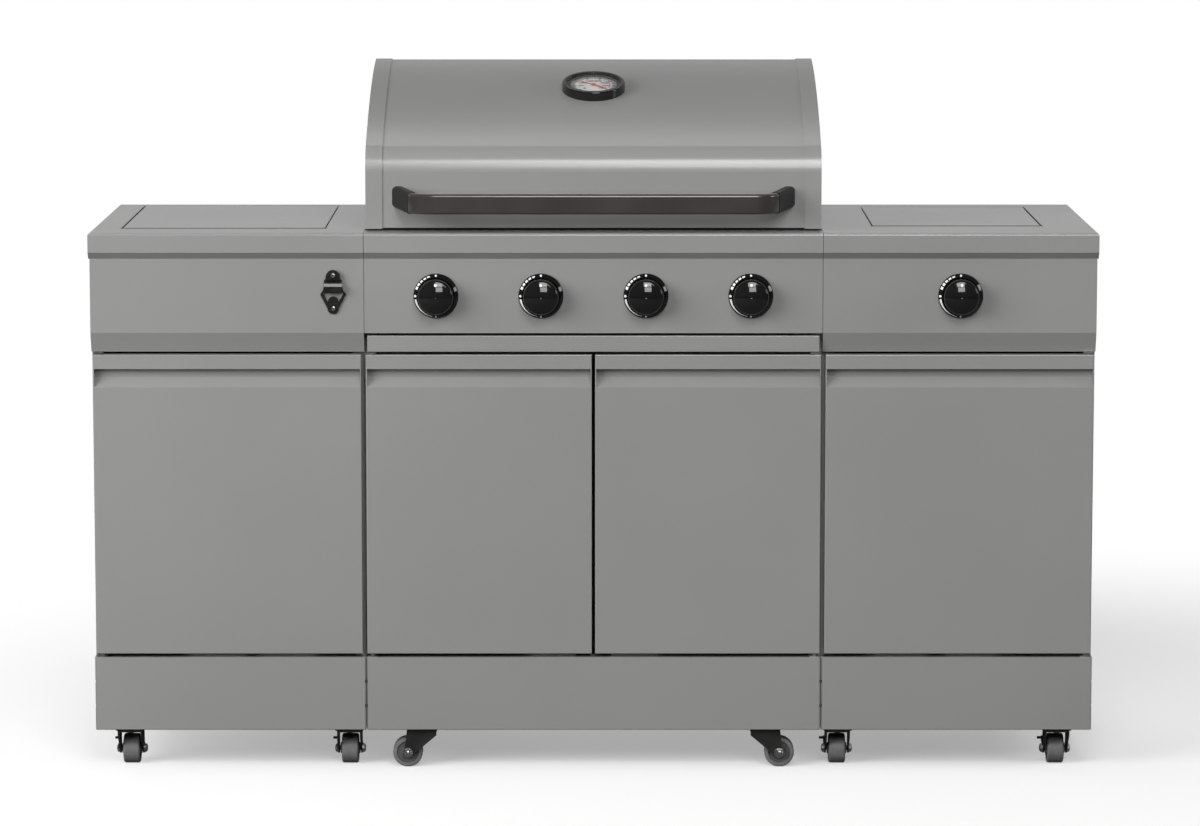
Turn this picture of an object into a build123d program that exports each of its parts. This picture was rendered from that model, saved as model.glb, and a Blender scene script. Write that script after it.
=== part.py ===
from build123d import *
import os
from math import asin, cos, radians, sin, sqrt

# Barbecue island, in millimetres. The origin is on the floor under the middle of the island.
# The front faces -Y, +X is to the right of someone standing at the grill and +Z is up.

# Whole island
GRILL_WIDTH = 764.0  # grill module, from seam to seam
SIDE_WIDTH = 458.0  # each side module, from its seam to the end of its worktop
WORKTOP_DEPTH = 550.0
WORKTOP_Z = 907.0
SEAM = 0.8  # gap between neighbouring modules
SHEET = 1.0  # steel of the cabinets and doors
HEAVY_SHEET = 1.5  # steel of the worktops, firebox and hood end caps
FLANGE = 10.0  # returned edges at the back of folded panels

# Worktops and fascias
WORKTOP_FACE = 32.0  # upright front edge
WORKTOP_BEVEL = 11.0  # height of the bevel under the front edge
WORKTOP_ROUND = 4.0
SIDE_OVERHANG = 2.0
BACK_OVERHANG = 10.0
PANEL_SETBACK = 10.0  # fascia behind the front edge of the worktop
FASCIA_FLAT = 124.0
FASCIA_BAND = 33.0  # height of the band that slopes back under a fascia
FASCIA_TUCK = 14.0  # how far that band slopes back
PANEL_LEDGE = 54.0  # flat top of the control panel in front of the firebox
PANEL_BOTTOM_LIFT = 32.5  # control panel's lower edge above the bottom of the fascias

# Lids in the worktops
LEFT_LID_SIZE = (339.0, 432.0)
LEFT_LID_CENTRE = (-621.0, 311.0)  # X, and distance behind the worktop's front edge
RIGHT_LID_SIZE = (283.0, 361.0)
RIGHT_LID_CENTRE = (613.0, 318.5)
LID_SIDE_GAP = 2.5
LID_REAR_GAP = 3.5
LID_REBATE = 20.0  # depth of the recess that the lid lies in
LID_LEDGE = 12.0
LID_REST_GAP = 0.8
LID_PIN_RADIUS = 2.5
LID_PIN_INSET = 3.0
LID_PIN_DROP = 5.0
LID_ROUND = 1.5

# Doors and bases
DOOR_SETBACK = 12.0
DOOR_THICKNESS = 18.0
DOOR_GAP_TOP = 4.0
DOOR_GAP_BOTTOM = 6.0
DOOR_OUTER_INSET = 3.0  # side door inside the outer side of its cabinet
DOOR_SEAM_INSET = 5.0  # side door inside the seam
GRILL_DOOR_SEAM_INSET = 1.6
GRILL_DOOR_GAP = 5.4  # between the two grill doors
DOOR_ROUND = 1.6
GRIP_STRIP = 24.0  # strip above the finger recess
GRIP_HEIGHT = 31.0
GRIP_DEPTH = 14.0
GRIP_SLOPE = 16.0  # height of the sloping foot of the recess
JAMB_GAP = 8.0  # between the back of a door and the cabinet
JAMB = 20.0
HINGE_INSET = 9.0  # door pivot from the edge and from the face of the door
HINGE_PIN_RADIUS = 3.0
HINGE_PIN_LENGTH = 12.0
HINGE_PLATE = 2.0
BASE_HEIGHT = 125.0
BASE_RIM = 28.0
BASE_ROUND = 2.5
BASE_LIP = 2.0  # edge of a base that shows round its front plate
BASE_PLATE = 4.0  # front plate of a base in front of that edge
BASE_NOTCH = 4.5  # relief notches in the side edges
VENT_LENGTH = 100.0
VENT_HEIGHT = 8.0
VENT_PITCH = 130.0
VENT_ROW = 24.0
VENT_LIFT = 70.0  # lowest row of vents above the base

# Grease tray
TRAY_STRIP_INSET = 5.0  # ends of the strip inside the sides of the grill module
TRAY_STRIP_HEIGHT = 27.5
TRAY_STRIP_LIFT = 0.5  # bottom of the strip above the bottom of the fascias
TRAY_STRIP_THICKNESS = 14.0
TRAY_INSET = 50.5  # sides of the tray inside the sides of the firebox
TRAY_LENGTH = 386.0
TRAY_HEIGHT = 22.0
TRAY_FLANGE = 12.0
RAIL_GAP = 1.0
RAIL_PLAY = 0.3  # between the tray's flanges and the rails under them

# Hood
HOOD_INSET = 1.6  # ends of the hood inside the sides of the grill module
HOOD_FRONT = 50.0  # front of the hood behind the worktop's front edge
HOOD_BACK = 500.0
HOOD_BOTTOM_Z = 912.0
HOOD_REAR_BOTTOM_Z = 960.0
HOOD_ARC = 1080.0
HOOD_ARC_CENTRE = (582.0, 93.4)  # distance behind the worktop's front edge, Z
HOOD_BEND = 47.0
HOOD_REAR_BEND = 24.0
HOOD_LIP = 12.0
CAP_WIDTH = 28.0
CAP_PROUD = 1.6
CAP_DROP = 1.7  # lower edge of the end caps below the skin
CAP_OVERLAP = 20.0
PIVOT_BACK = 458.0
PIVOT_Z = 937.0
PIVOT_PIN_RADIUS = 4.0
HOOD_HINGE_FOOT = 22.0  # length of a hinge bracket along the firebox
HOOD_HINGE_LIFT = 8.0  # foot of the bracket above the top of the cabinet
HOOD_HINGE_EYE = 12.0
HOOD_HINGE_PLATE = 3.0
RUNNING_FIT = 0.05  # radial clearance of pins that turn

# Handle
HANDLE_REACH = 65.0
HANDLE_INSET = 44.4  # ends of the handle inside the ends of the hood
HANDLE_Z = 957.0
HANDLE_RISE = 6.5  # feet of the posts above the middle of the bar
HANDLE_HEIGHT = 34.0
HANDLE_THICKNESS = 15.0
HANDLE_BEND = 40.0
HANDLE_TURN = 62.0  # degrees
POST_GROW = 2.0
POST_FOOT = 22.0
POST_ROUND = 8.0

# Thermometer
THERMO_BACK = 273.0
THERMO_RADIUS = 54.0
THERMO_HEIGHT = 15.0
THERMO_DIAL_RADIUS = 45.0
THERMO_WELL = 8.0
THERMO_LENS = 2.0
THERMO_LENS_SEAT = 2.0
THERMO_LENS_RECESS = 0.8
THERMO_DIAL = 0.8
NEEDLE_PIN_RADIUS = 1.2
NEEDLE_REST = 51.0  # degrees left of the top of the dial
PROBE_RADIUS = 3.5
PROBE_LENGTH = 55.0

# Knobs and gas
KNOB_PITCH = 174.7
SIDE_KNOB_X = 611.0
KNOB_Z = 802.0
KNOB_REACH = 36.0
KNOB_RADIUS = 29.5
BEZEL_RADIUS = 37.5
BEZEL_HEIGHT = 8.0
BEZEL_FLOOR = 4.0
KNOB_GAP = 1.0
SPINDLE_RADIUS = 4.0
SPINDLE_DEPTH = 22.0  # spindle behind the face of the control panel
SPINDLE_HOLE = 6.5
VALVE_HALF = 10.0
PIPE_RADIUS = 8.0
PIPE_BACK = 48.5
PIPE_DROP = 34.0  # gas pipe below the knobs
NOZZLE_RADIUS = 4.0
INLET_RADIUS = 7.0
INLET_LENGTH = 30.0
INLET_COLLAR = 4.0  # hexagon between the gas pipe and the inlet nipple

# Firebox and what stands in it
FIREBOX_INSET = 9.5  # sides of the firebox inside the sides of the grill module
FIREBOX_BACK = 446.0
FIREBOX_RIM_Z = 905.0
FIREBOX_SLOPE_Z = 785.0
FIREBOX_SLOPE_IN = 40.0
FIREBOX_FLOOR_Z = 745.0
TOP_FLANGE = 7.0
LEDGE = 12.0
GRATE_Z = 882.0
GRATE_HEIGHT = 12.0
GRATE_COUNT = 3
GRATE_GAP = 2.0
GRATE_FRAME = 10.0
GRATE_BAR = 7.0
GRATE_SLOTS = 13
BURNER_RADIUS = 12.5
BURNER_WALL = 1.2
BURNER_FIT = 0.6
BURNER_FRONT = 47.0
BURNER_END_GAP = 8.0
TAMER_HALF = 62.0
TAMER_HEIGHT = 34.0
TAMER_Z = 828.0
RACK_Z = 1000.0
RACK_FRONT = 300.0
RACK_DEPTH = 120.0
RACK_INSET = 47.5  # ends of the rack inside the sides of the firebox
RACK_WIRE = 2.5
RACK_WIRES = 7

# Side burner and drinks tub
TUB_DEPTH = 175.0
TUB_CORNER = 8.0
BURNER_PAN_DEPTH = 62.0
BURNER_PAN_CORNER = 18.0
SIDE_TUBE_RADIUS = 10.0
SIDE_HEAD_RADIUS = 42.0
SIDE_HEAD_HEIGHT = 20.0
SIDE_CAP_HEIGHT = 6.0
TRIVET_HALF = 112.0
TRIVET_BAR = 8.0
TRIVET_CLEARANCE = 4.0  # between the trivet and the closed lid

# Bottle opener
OPENER_FROM_SEAM = 51.0
OPENER_Z = 809.0
OPENER_PLATE = 3.0
OPENER_REACH = 13.0
OPENER_PAD = 7.5  # thickness round the upper screw
OPENER_SCREW = 3.6

# Casters
CASTER_HEIGHT = 66.0
WHEEL_RADIUS = 25.0
WHEEL_HALF = 14.0
TREAD_HALF = 10.5
HUB_HALF = 16.6
FORK_HALF = 20.5
FORK_WALL = 2.5
TRAIL = 25.5
FORK_BEHIND = 23.0
FORK_AHEAD = 27.0
PLATE_SIZE = 48.0
PLATE_THICKNESS = 2.5
SWIVEL_GAP = 0.4
KINGPIN_RADIUS = 6.0
KINGPIN_HEAD = 9.0
AXLE_RADIUS = 4.0
BRAKE_LIFT = 8.0  # foot of a brake tab above the axle
BRAKE_HEIGHT = 12.0
BRAKE_REACH = 9.0  # brake pedal outside the fork
CASTER_FRONT = 45.0  # swivel axes behind the worktop's front edge
REAR_AXLE = 492.0
SIDE_CASTERS_X = (412.0, 782.0)
GRILL_CASTER_X = 288.0

# Positions that follow from the sizes
FRONT_Y = -(WORKTOP_DEPTH - (KNOB_REACH - PANEL_SETBACK)) / 2
BACK_Y = FRONT_Y + WORKTOP_DEPTH
PANEL_Y = FRONT_Y + PANEL_SETBACK
LEDGE_Y = FRONT_Y + PANEL_LEDGE
DOOR_Y = FRONT_Y + DOOR_SETBACK
DOOR_BACK_Y = DOOR_Y + DOOR_THICKNESS
BODY_FRONT_Y = DOOR_BACK_Y + JAMB_GAP
BODY_BACK_Y = BACK_Y - BACK_OVERHANG
BODY_TOP_Z = WORKTOP_Z - WORKTOP_FACE - WORKTOP_BEVEL
FASCIA_BREAK_Z = BODY_TOP_Z - FASCIA_FLAT
FASCIA_BOTTOM_Z = FASCIA_BREAK_Z - FASCIA_BAND
DOOR_TOP_Z = FASCIA_BOTTOM_Z - DOOR_GAP_TOP
BASE_TOP_Z = CASTER_HEIGHT + BASE_HEIGHT
DOOR_BOTTOM_Z = BASE_TOP_Z + DOOR_GAP_BOTTOM
HALF_GRILL = GRILL_WIDTH / 2
HALF_ISLAND = HALF_GRILL + SIDE_WIDTH
FIREBOX_HALF = HALF_GRILL - FIREBOX_INSET
HOOD_HALF = HALF_GRILL - HOOD_INSET
HANDLE_HALF = HOOD_HALF - HANDLE_INSET
TRAY_STRIP_HALF = HALF_GRILL - TRAY_STRIP_INSET
TRAY_HALF = FIREBOX_HALF - TRAY_INSET
RACK_HALF = FIREBOX_HALF - RACK_INSET
GRILL_X = (-HALF_GRILL + SEAM / 2, HALF_GRILL - SEAM / 2)
RIGHT_X = (HALF_GRILL + SEAM / 2, HALF_ISLAND - SIDE_OVERHANG)
LEFT_X = (-RIGHT_X[1], -RIGHT_X[0])
FIREBOX_BACK_Y = FRONT_Y + FIREBOX_BACK
HOOD_FRONT_Y = FRONT_Y + HOOD_FRONT
PIVOT_Y = FRONT_Y + PIVOT_BACK
PIPE_Y = FRONT_Y + PIPE_BACK
PIPE_Z = KNOB_Z - PIPE_DROP
LID_SEAT_Z = WORKTOP_Z - LID_REBATE
KNOBS_X = [(place - 1.5) * KNOB_PITCH for place in range(4)]
ROUND_START = (Align.CENTER, Align.CENTER, Align.MIN)


def grown(pair, amount):
    """A (low, high) pair made longer by the amount at both ends."""
    return (pair[0] - amount, pair[1] + amount)


def around(centre, size):
    """The (low, high) pair of a size about its centre."""
    return (centre - size / 2, centre + size / 2)


def mirrored(pair):
    """The (low, high) pair on the other side of the middle."""
    return (-pair[1], -pair[0])


def block(x, y, z):
    """Box between a (low, high) pair on each axis."""
    middle = [(pair[0] + pair[1]) / 2 for pair in (x, y, z)]
    size = [pair[1] - pair[0] for pair in (x, y, z)]
    return Pos(*middle) * Box(*size)


def prism_x(outline, x):
    """Flat outline in (Y, Z) drawn out along X."""
    return extrude(Plane.YZ.offset(x[0]) * outline, x[1] - x[0], dir=(1, 0, 0))


def rod(start, end, radius):
    """Round bar between two points."""
    axis = Vector(*end) - Vector(*start)
    return Plane(origin=start, z_dir=axis) * Cylinder(radius, axis.length, align=ROUND_START)


def revolved(profile, place):
    """Closed (radius, height) profile turned about the Z axis of a plane."""
    outline = Plane.XZ * Polygon(*profile, align=None)
    return place * revolve(outline, Axis.Z)


def folded_box(points, x, wall):
    """Closed sheet-metal box with an outline of (Y, Z) points between two ends on X."""
    outline = Polygon(*points, align=None)
    inside = offset(outline, -wall, kind=Kind.INTERSECTION)
    return prism_x(outline, x) - prism_x(inside, grown(x, -wall))


def edges_at(shape, axis, value):
    """Edges whose middle lies at one value on an axis."""
    return ShapeList(
        edge for edge in shape.edges() if abs(edge.center().dot(axis.direction) - value) < 0.01
    )


def base_pan(x):
    """Deep folded tray that carries a cabinet, with a front plate and a turned-in rim round its mouth."""
    y = (DOOR_Y + BASE_PLATE, BODY_BACK_Y)
    z = (CASTER_HEIGHT, BASE_TOP_Z)
    outer = block(x, y, z)
    outer = fillet(edges_at(outer, Axis.Z, z[0]), BASE_ROUND)
    inside = block(grown(x, -SHEET), grown(y, -SHEET), grown(z, -SHEET))
    mouth = block(grown(x, -BASE_RIM), grown(y, -BASE_RIM), (z[1] - 2 * SHEET, z[1] + SHEET))
    pan = outer - inside - mouth
    for share in (1 / 3, 2 / 3):
        height = around(z[0] + share * BASE_HEIGHT, BASE_NOTCH)
        for edge in x:
            pan -= block(around(edge, 2 * BASE_LIP), (y[0] - SHEET, y[0] + BASE_NOTCH), height)
    return pan + block(grown(x, -BASE_LIP), (DOOR_Y, y[0] + SHEET / 2), (z[0] + BASE_LIP, z[1]))


def cabinet_wrap(x, rear_flange):
    """Two side walls and the back in one folded sheet, with door jambs and a flanged top."""
    y = (BODY_FRONT_Y, BODY_BACK_Y)
    z = (BASE_TOP_Z, BODY_TOP_Z)
    inside = block(grown(x, -SHEET), grown(y, -SHEET), (z[0] - SHEET, z[1] - SHEET))
    front = block(grown(x, -JAMB), (y[0] - SHEET, y[0] + 2 * SHEET), grown(z, SHEET))
    top = block(grown(x, -TOP_FLANGE), (y[0] - SHEET, y[1] - rear_flange), (z[1] - 2 * SHEET, z[1] + SHEET))
    return block(x, y, z) - inside - front - top


def vent_slots(x):
    """Two banks of ventilation slots low in the back wall."""
    centre = (x[0] + x[1]) / 2
    slots = []
    for row in range(3):
        for column in (-0.5, 0.5):
            slot = Plane.XZ.offset(-BODY_BACK_Y - SHEET) * SlotOverall(VENT_LENGTH, VENT_HEIGHT)
            place = Pos(centre + column * VENT_PITCH, 0, BASE_TOP_Z + VENT_LIFT + row * VENT_ROW)
            slots.append(place * extrude(slot, 4 * SHEET))
    return slots


def side_fascia(x):
    """Folded front panel of a side cabinet, with a band that slopes back at its foot."""
    points = [
        (PANEL_Y, BODY_TOP_Z),
        (PANEL_Y, FASCIA_BREAK_Z),
        (PANEL_Y + FASCIA_TUCK, FASCIA_BOTTOM_Z),
        (BODY_FRONT_Y, FASCIA_BOTTOM_Z),
        (BODY_FRONT_Y, BODY_TOP_Z),
    ]
    back = block(
        grown(x, -FLANGE),
        (BODY_FRONT_Y - 2 * SHEET, BODY_FRONT_Y + SHEET),
        (FASCIA_BOTTOM_Z + FLANGE, BODY_TOP_Z - FLANGE),
    )
    return folded_box(points, x, SHEET) - back


def control_panel():
    """Front panel of the grill with the worktop's edge and a flat ledge folded into its top."""
    bottom = FASCIA_BOTTOM_Z + PANEL_BOTTOM_LIFT
    edge_bottom = WORKTOP_Z - WORKTOP_FACE
    points = [
        (PANEL_Y, bottom),
        (PANEL_Y, BODY_TOP_Z),
        (FRONT_Y, edge_bottom),
        (FRONT_Y, WORKTOP_Z),
        (LEDGE_Y, WORKTOP_Z),
        (LEDGE_Y, edge_bottom),
        (BODY_FRONT_Y, edge_bottom),
        (BODY_FRONT_Y, bottom),
    ]
    outer = prism_x(Polygon(*points, align=None), GRILL_X)
    front = ShapeList(e for e in edges_at(outer, Axis.Z, WORKTOP_Z) if abs(e.center().Y - FRONT_Y) < 0.01)
    outer = fillet(front, WORKTOP_ROUND)
    inside = offset(Polygon(*points, align=None), -HEAVY_SHEET, kind=Kind.INTERSECTION)
    panel = outer - prism_x(inside, grown(GRILL_X, -HEAVY_SHEET))
    panel -= block(
        grown(GRILL_X, -FLANGE),
        (BODY_FRONT_Y - 2 * HEAVY_SHEET, BODY_FRONT_Y + SHEET),
        (bottom + FLANGE, BODY_TOP_Z),
    )
    for x in KNOBS_X:
        panel -= rod((x, PANEL_Y - SHEET, KNOB_Z), (x, PANEL_Y + 2 * HEAVY_SHEET, KNOB_Z), SPINDLE_HOLE)
    return panel


def lid_spans(size, centre):
    """(low, high) pairs of a lid on X and Y."""
    return around(centre[0], size[0]), around(FRONT_Y + centre[1], size[1])


def lid_opening(lid):
    """(low, high) pairs of the opening that a lid lies in."""
    x, y = lid
    return grown(x, LID_SIDE_GAP), (y[0] - LID_SIDE_GAP, y[1] + LID_REAR_GAP)


def lid_axis(lid):
    """Y and Z of a lid's hinge pins."""
    return lid[1][1] - LID_PIN_INSET, WORKTOP_Z - LID_PIN_DROP


def right_hand_worktop(lid):
    """Folded worktop with a bevel under its front edge and a recess with a ledge for the lid."""
    x = (RIGHT_X[0], HALF_ISLAND)
    points = [
        (FRONT_Y, WORKTOP_Z),
        (FRONT_Y, WORKTOP_Z - WORKTOP_FACE),
        (PANEL_Y, BODY_TOP_Z),
        (BACK_Y, BODY_TOP_Z),
        (BACK_Y, WORKTOP_Z),
    ]
    outer = prism_x(Polygon(*points, align=None), x)
    under_end = Polygon(
        (HALF_ISLAND + SHEET, BODY_TOP_Z - SHEET),
        (RIGHT_X[1], BODY_TOP_Z - SHEET),
        (RIGHT_X[1], BODY_TOP_Z),
        (HALF_ISLAND, WORKTOP_Z - WORKTOP_FACE),
        (HALF_ISLAND + SHEET, WORKTOP_Z - WORKTOP_FACE),
        align=None,
    )
    outer -= extrude(Plane.XZ.offset(-FRONT_Y + SHEET) * under_end, -(WORKTOP_DEPTH + 2 * SHEET))
    top_edges = [e for e in edges_at(outer, Axis.Z, WORKTOP_Z)]
    rounded = [e for e in top_edges if e.center().Y < FRONT_Y + 1 or e.center().X > HALF_ISLAND - 1]
    outer = fillet(rounded, WORKTOP_ROUND)
    inside = offset(Polygon(*points, align=None), -HEAVY_SHEET, kind=Kind.INTERSECTION)
    inner_x = (x[0] + HEAVY_SHEET, RIGHT_X[1] - HEAVY_SHEET)
    under = block(
        inner_x,
        (PANEL_Y + HEAVY_SHEET, BACK_Y - HEAVY_SHEET),
        (BODY_TOP_Z - SHEET, BODY_TOP_Z + 2 * HEAVY_SHEET),
    )
    worktop = outer - prism_x(inside, inner_x) - under
    open_x, open_y = lid_opening(lid)
    worktop += block(
        grown(open_x, HEAVY_SHEET), grown(open_y, HEAVY_SHEET), (LID_SEAT_Z - HEAVY_SHEET, WORKTOP_Z)
    )
    worktop -= block(open_x, open_y, (LID_SEAT_Z, WORKTOP_Z + SHEET))
    worktop -= block(grown(open_x, -LID_LEDGE), grown(open_y, -LID_LEDGE), (BODY_TOP_Z, WORKTOP_Z))
    axis_y, axis_z = lid_axis(lid)
    worktop -= rod(
        (open_x[0] - 2 * HEAVY_SHEET, axis_y, axis_z),
        (open_x[1] + 2 * HEAVY_SHEET, axis_y, axis_z),
        LID_PIN_RADIUS + RUNNING_FIT,
    )
    return worktop


def worktop_lid(lid):
    """Shallow upturned tray, flush in the worktop, with a hinge pin at each rear corner."""
    x, y = lid
    z = (LID_SEAT_Z + SHEET + LID_REST_GAP, WORKTOP_Z)
    outer = block(x, y, z)
    outer = fillet(edges_at(outer, Axis.Z, WORKTOP_Z), LID_ROUND)
    tray = outer - block(grown(x, -SHEET), grown(y, -SHEET), (z[0] - SHEET, z[1] - SHEET))
    axis_y, axis_z = lid_axis(lid)
    reach = LID_SIDE_GAP + HEAVY_SHEET
    tray += rod((x[0] - reach, axis_y, axis_z), (x[0] + SHEET, axis_y, axis_z), LID_PIN_RADIUS)
    tray += rod((x[1] - SHEET, axis_y, axis_z), (x[1] + reach, axis_y, axis_z), LID_PIN_RADIUS)
    return tray


def pressed_bowl(lid, depth, corner):
    """Pressed tub with round corners that hangs by its rim on the ledge of a worktop."""
    open_x, open_y = lid_opening(lid)
    x = grown(open_x, -LID_LEDGE - SHEET)
    y = grown(open_y, -LID_LEDGE - SHEET)
    z = (LID_SEAT_Z + SHEET - depth, LID_SEAT_Z + SHEET)
    bodies = []
    for inset in (0.0, SHEET):
        body = block(grown(x, -inset), grown(y, -inset), (z[0] + inset, z[1] + inset))
        body = fillet(body.edges().filter_by(Axis.Z), corner - inset)
        bodies.append(fillet(edges_at(body, Axis.Z, z[0] + inset), corner * 0.7 - inset))
    rim = block(grown(open_x, -SHEET), grown(open_y, -SHEET), (LID_SEAT_Z, LID_SEAT_Z + SHEET))
    return bodies[0] + rim - bodies[1]


def side_burner(lid):
    """Cast burner with its feed tube, a loose cap and the trivet that stands over it."""
    x, y = [(pair[0] + pair[1]) / 2 for pair in lid]
    floor = LID_SEAT_Z + 2 * SHEET - BURNER_PAN_DEPTH
    head_top = floor + SIDE_HEAD_HEIGHT
    tube = rod((x, FRONT_Y + BURNER_FRONT, KNOB_Z), (x, y + SIDE_TUBE_RADIUS, KNOB_Z), SIDE_TUBE_RADIUS)
    riser = rod((x, y, KNOB_Z), (x, y, head_top), SIDE_TUBE_RADIUS)
    head = revolved(
        [(0, 0), (SIDE_HEAD_RADIUS, 0), (SIDE_HEAD_RADIUS - 4, SIDE_HEAD_HEIGHT), (0, SIDE_HEAD_HEIGHT)],
        Pos(x, y, floor),
    )
    bore = rod(
        (x, FRONT_Y + BURNER_FRONT - SHEET, KNOB_Z), (x, y, KNOB_Z), SIDE_TUBE_RADIUS - BURNER_WALL
    )
    casting = tube + riser + head - bore
    for step in range(24):
        port = Pos(0, SIDE_HEAD_RADIUS, 0.62 * SIDE_HEAD_HEIGHT) * Box(2.4, 8, 8)
        casting -= Pos(x, y, floor) * Rot(0, 0, step * 15) * port
    cap = revolved(
        [
            (0, 0),
            (SIDE_HEAD_RADIUS + 2, 0),
            (SIDE_HEAD_RADIUS + 2, SIDE_CAP_HEIGHT * 0.5),
            (SIDE_HEAD_RADIUS - 8, SIDE_CAP_HEIGHT),
            (0, SIDE_CAP_HEIGHT),
        ],
        Pos(x, y, head_top),
    )
    return casting, cap, trivet(x, y, floor)


def trivet(x, y, floor):
    """Cast square frame with four legs and eight fingers that carry a pot."""
    top = WORKTOP_Z - SHEET - TRIVET_CLEARANCE
    z = (top - 1.4 * TRIVET_BAR, top)
    outer = around(x, 2 * TRIVET_HALF)
    depth = around(y, 2 * TRIVET_HALF)
    frame = block(outer, depth, z) - block(grown(outer, -TRIVET_BAR), grown(depth, -TRIVET_BAR), grown(z, 1))
    for step in range(8):
        reach = (TRIVET_HALF - TRIVET_BAR / 2) / max(abs(cos(radians(45 * step))), abs(sin(radians(45 * step))))
        finger = block((0.3 * TRIVET_HALF, reach), around(0, 0.7 * TRIVET_BAR), z)
        frame += Pos(x, y, 0) * Rot(0, 0, 45 * step) * finger
    for leg_x in (outer[0], outer[1] - TRIVET_BAR):
        for leg_y in (depth[0], depth[1] - TRIVET_BAR):
            frame += block((leg_x, leg_x + TRIVET_BAR), (leg_y, leg_y + TRIVET_BAR), (floor, z[1]))
    return frame


def bottle_opener():
    """Cast wall plate with a hooked lip over a window, held by two screws."""
    place = Plane.XZ.offset(-PANEL_Y)
    outline = Polygon(
        (-12, 25), (-16.5, 3), (-21.5, -4), (-9.5, -28), (9.5, -28), (21.5, -4), (16.5, 3), (12, 25), align=None
    )
    outline += Pos(0, 25) * Circle(12)
    outline += Pos(0, -27.5) * Circle(9.5)
    window = Polygon((-14.5, 1.5), (-17, -3), (-9.5, -16), (9.5, -16), (17, -3), (14.5, 1.5), align=None)
    window -= Pos(0, -16) * Circle(8.5)
    centre = Pos(-HALF_GRILL - OPENER_FROM_SEAM, 0, OPENER_Z)
    plate = extrude(place * (outline - window), OPENER_PLATE)
    pad_low = 20.0
    plate += extrude(place * (outline & Pos(0, pad_low + 15) * Rectangle(60, 30)), OPENER_PAD)
    front = PANEL_Y - OPENER_PLATE
    tip = PANEL_Y - OPENER_REACH
    lip = prism_x(
        Polygon(
            (front + 1, pad_low), (tip, 9.5), (tip, 0), (tip + 3, -2), (tip + 4, 4), (front + 1, 5), align=None
        ),
        (-15, 15),
    )
    plate = centre * (plate + lip)
    screws = []
    for height, front in ((27.5, PANEL_Y - OPENER_PAD), (-28.0, PANEL_Y - OPENER_PLATE)):
        head = [
            (0, 0),
            (OPENER_SCREW, 0),
            (OPENER_SCREW, 0.8),
            (OPENER_SCREW * 0.6, 2.0),
            (0, 2.3),
        ]
        screw = revolved(head, Plane(origin=(0, front, height), z_dir=(0, -1, 0)))
        screws.append(centre * screw)
    return [plate] + screws


def burner_hole(x):
    """Round hole for a burner tube through the front of the firebox."""
    return rod((x, LEDGE_Y - SHEET, KNOB_Z), (x, LEDGE_Y + LEDGE, KNOB_Z), BURNER_RADIUS + BURNER_FIT)


def firebox():
    """Steel hopper with ledges for what stands in it, side flanges and rails for the tray."""
    wall = HEAVY_SHEET
    x = (-FIREBOX_HALF, FIREBOX_HALF)
    y = (LEDGE_Y, FIREBOX_BACK_Y)
    points = [
        (y[0], FIREBOX_RIM_Z),
        (y[0], FIREBOX_SLOPE_Z),
        (y[0] + FIREBOX_SLOPE_IN, FIREBOX_FLOOR_Z),
        (y[1] - FIREBOX_SLOPE_IN, FIREBOX_FLOOR_Z),
        (y[1], FIREBOX_SLOPE_Z),
        (y[1], FIREBOX_RIM_Z),
    ]
    hopper = folded_box(points, x, wall)
    hopper -= block(grown(x, -wall), grown(y, -wall), (FIREBOX_RIM_Z - 2 * wall, FIREBOX_RIM_Z + wall))
    floor_y = grown(y, -FIREBOX_SLOPE_IN)
    rail_x = TRAY_HALF + TRAY_FLANGE + RAIL_GAP
    hopper -= block(
        grown((-rail_x, rail_x), -TRAY_FLANGE - 2 * RAIL_GAP),
        grown(floor_y, -2 * wall),
        around(FIREBOX_FLOOR_Z, 4 * wall),
    )
    lip_z = tray_top_z() - SHEET - RAIL_PLAY - wall
    for side in (-1, 1):
        web = sorted((side * rail_x, side * (rail_x + wall)))
        lip = sorted((side * (rail_x + wall), side * (TRAY_HALF + RAIL_GAP)))
        hopper += block(web, floor_y, (lip_z, FIREBOX_FLOOR_Z + wall))
        hopper += block(lip, floor_y, (lip_z, lip_z + wall))
        wing = sorted((side * (FIREBOX_HALF - wall / 2), side * GRILL_X[1]))
        hopper += block(wing, (BODY_FRONT_Y + JAMB, y[1] - JAMB), (BODY_TOP_Z, BODY_TOP_Z + wall))
        rim = sorted((side * (FIREBOX_HALF - wall / 2), side * HOOD_HALF))
        hopper += block(rim, (y[0], PIVOT_Y - 2 * JAMB), (FIREBOX_RIM_Z - wall, FIREBOX_RIM_Z))
    inner_x = grown(x, -wall / 2)
    for top in (GRATE_Z, TAMER_Z):
        hopper += block(inner_x, (y[0] + wall / 2, y[0] + LEDGE), (top - wall, top))
        hopper += block(inner_x, (y[1] - LEDGE, y[1] - wall / 2), (top - wall, top))
    rest = KNOB_Z - BURNER_RADIUS
    hopper += block(inner_x, (y[1] - 2 * LEDGE, y[1] - wall / 2), (rest - wall, rest))
    for burner_x in KNOBS_X:
        hopper -= burner_hole(burner_x)
    return hopper


def burner_tubes():
    """Four tube burners, open at the front for the gas nozzle, with rows of small ports."""
    front = FRONT_Y + BURNER_FRONT
    back = FIREBOX_BACK_Y - BURNER_END_GAP
    tubes = []
    for x in KNOBS_X:
        tube = rod((x, front, KNOB_Z), (x, back, KNOB_Z), BURNER_RADIUS)
        tube -= rod(
            (x, front - SHEET, KNOB_Z), (x, back - BURNER_WALL, KNOB_Z), BURNER_RADIUS - BURNER_WALL
        )
        tubes.append(tube)
    return tubes


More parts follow.
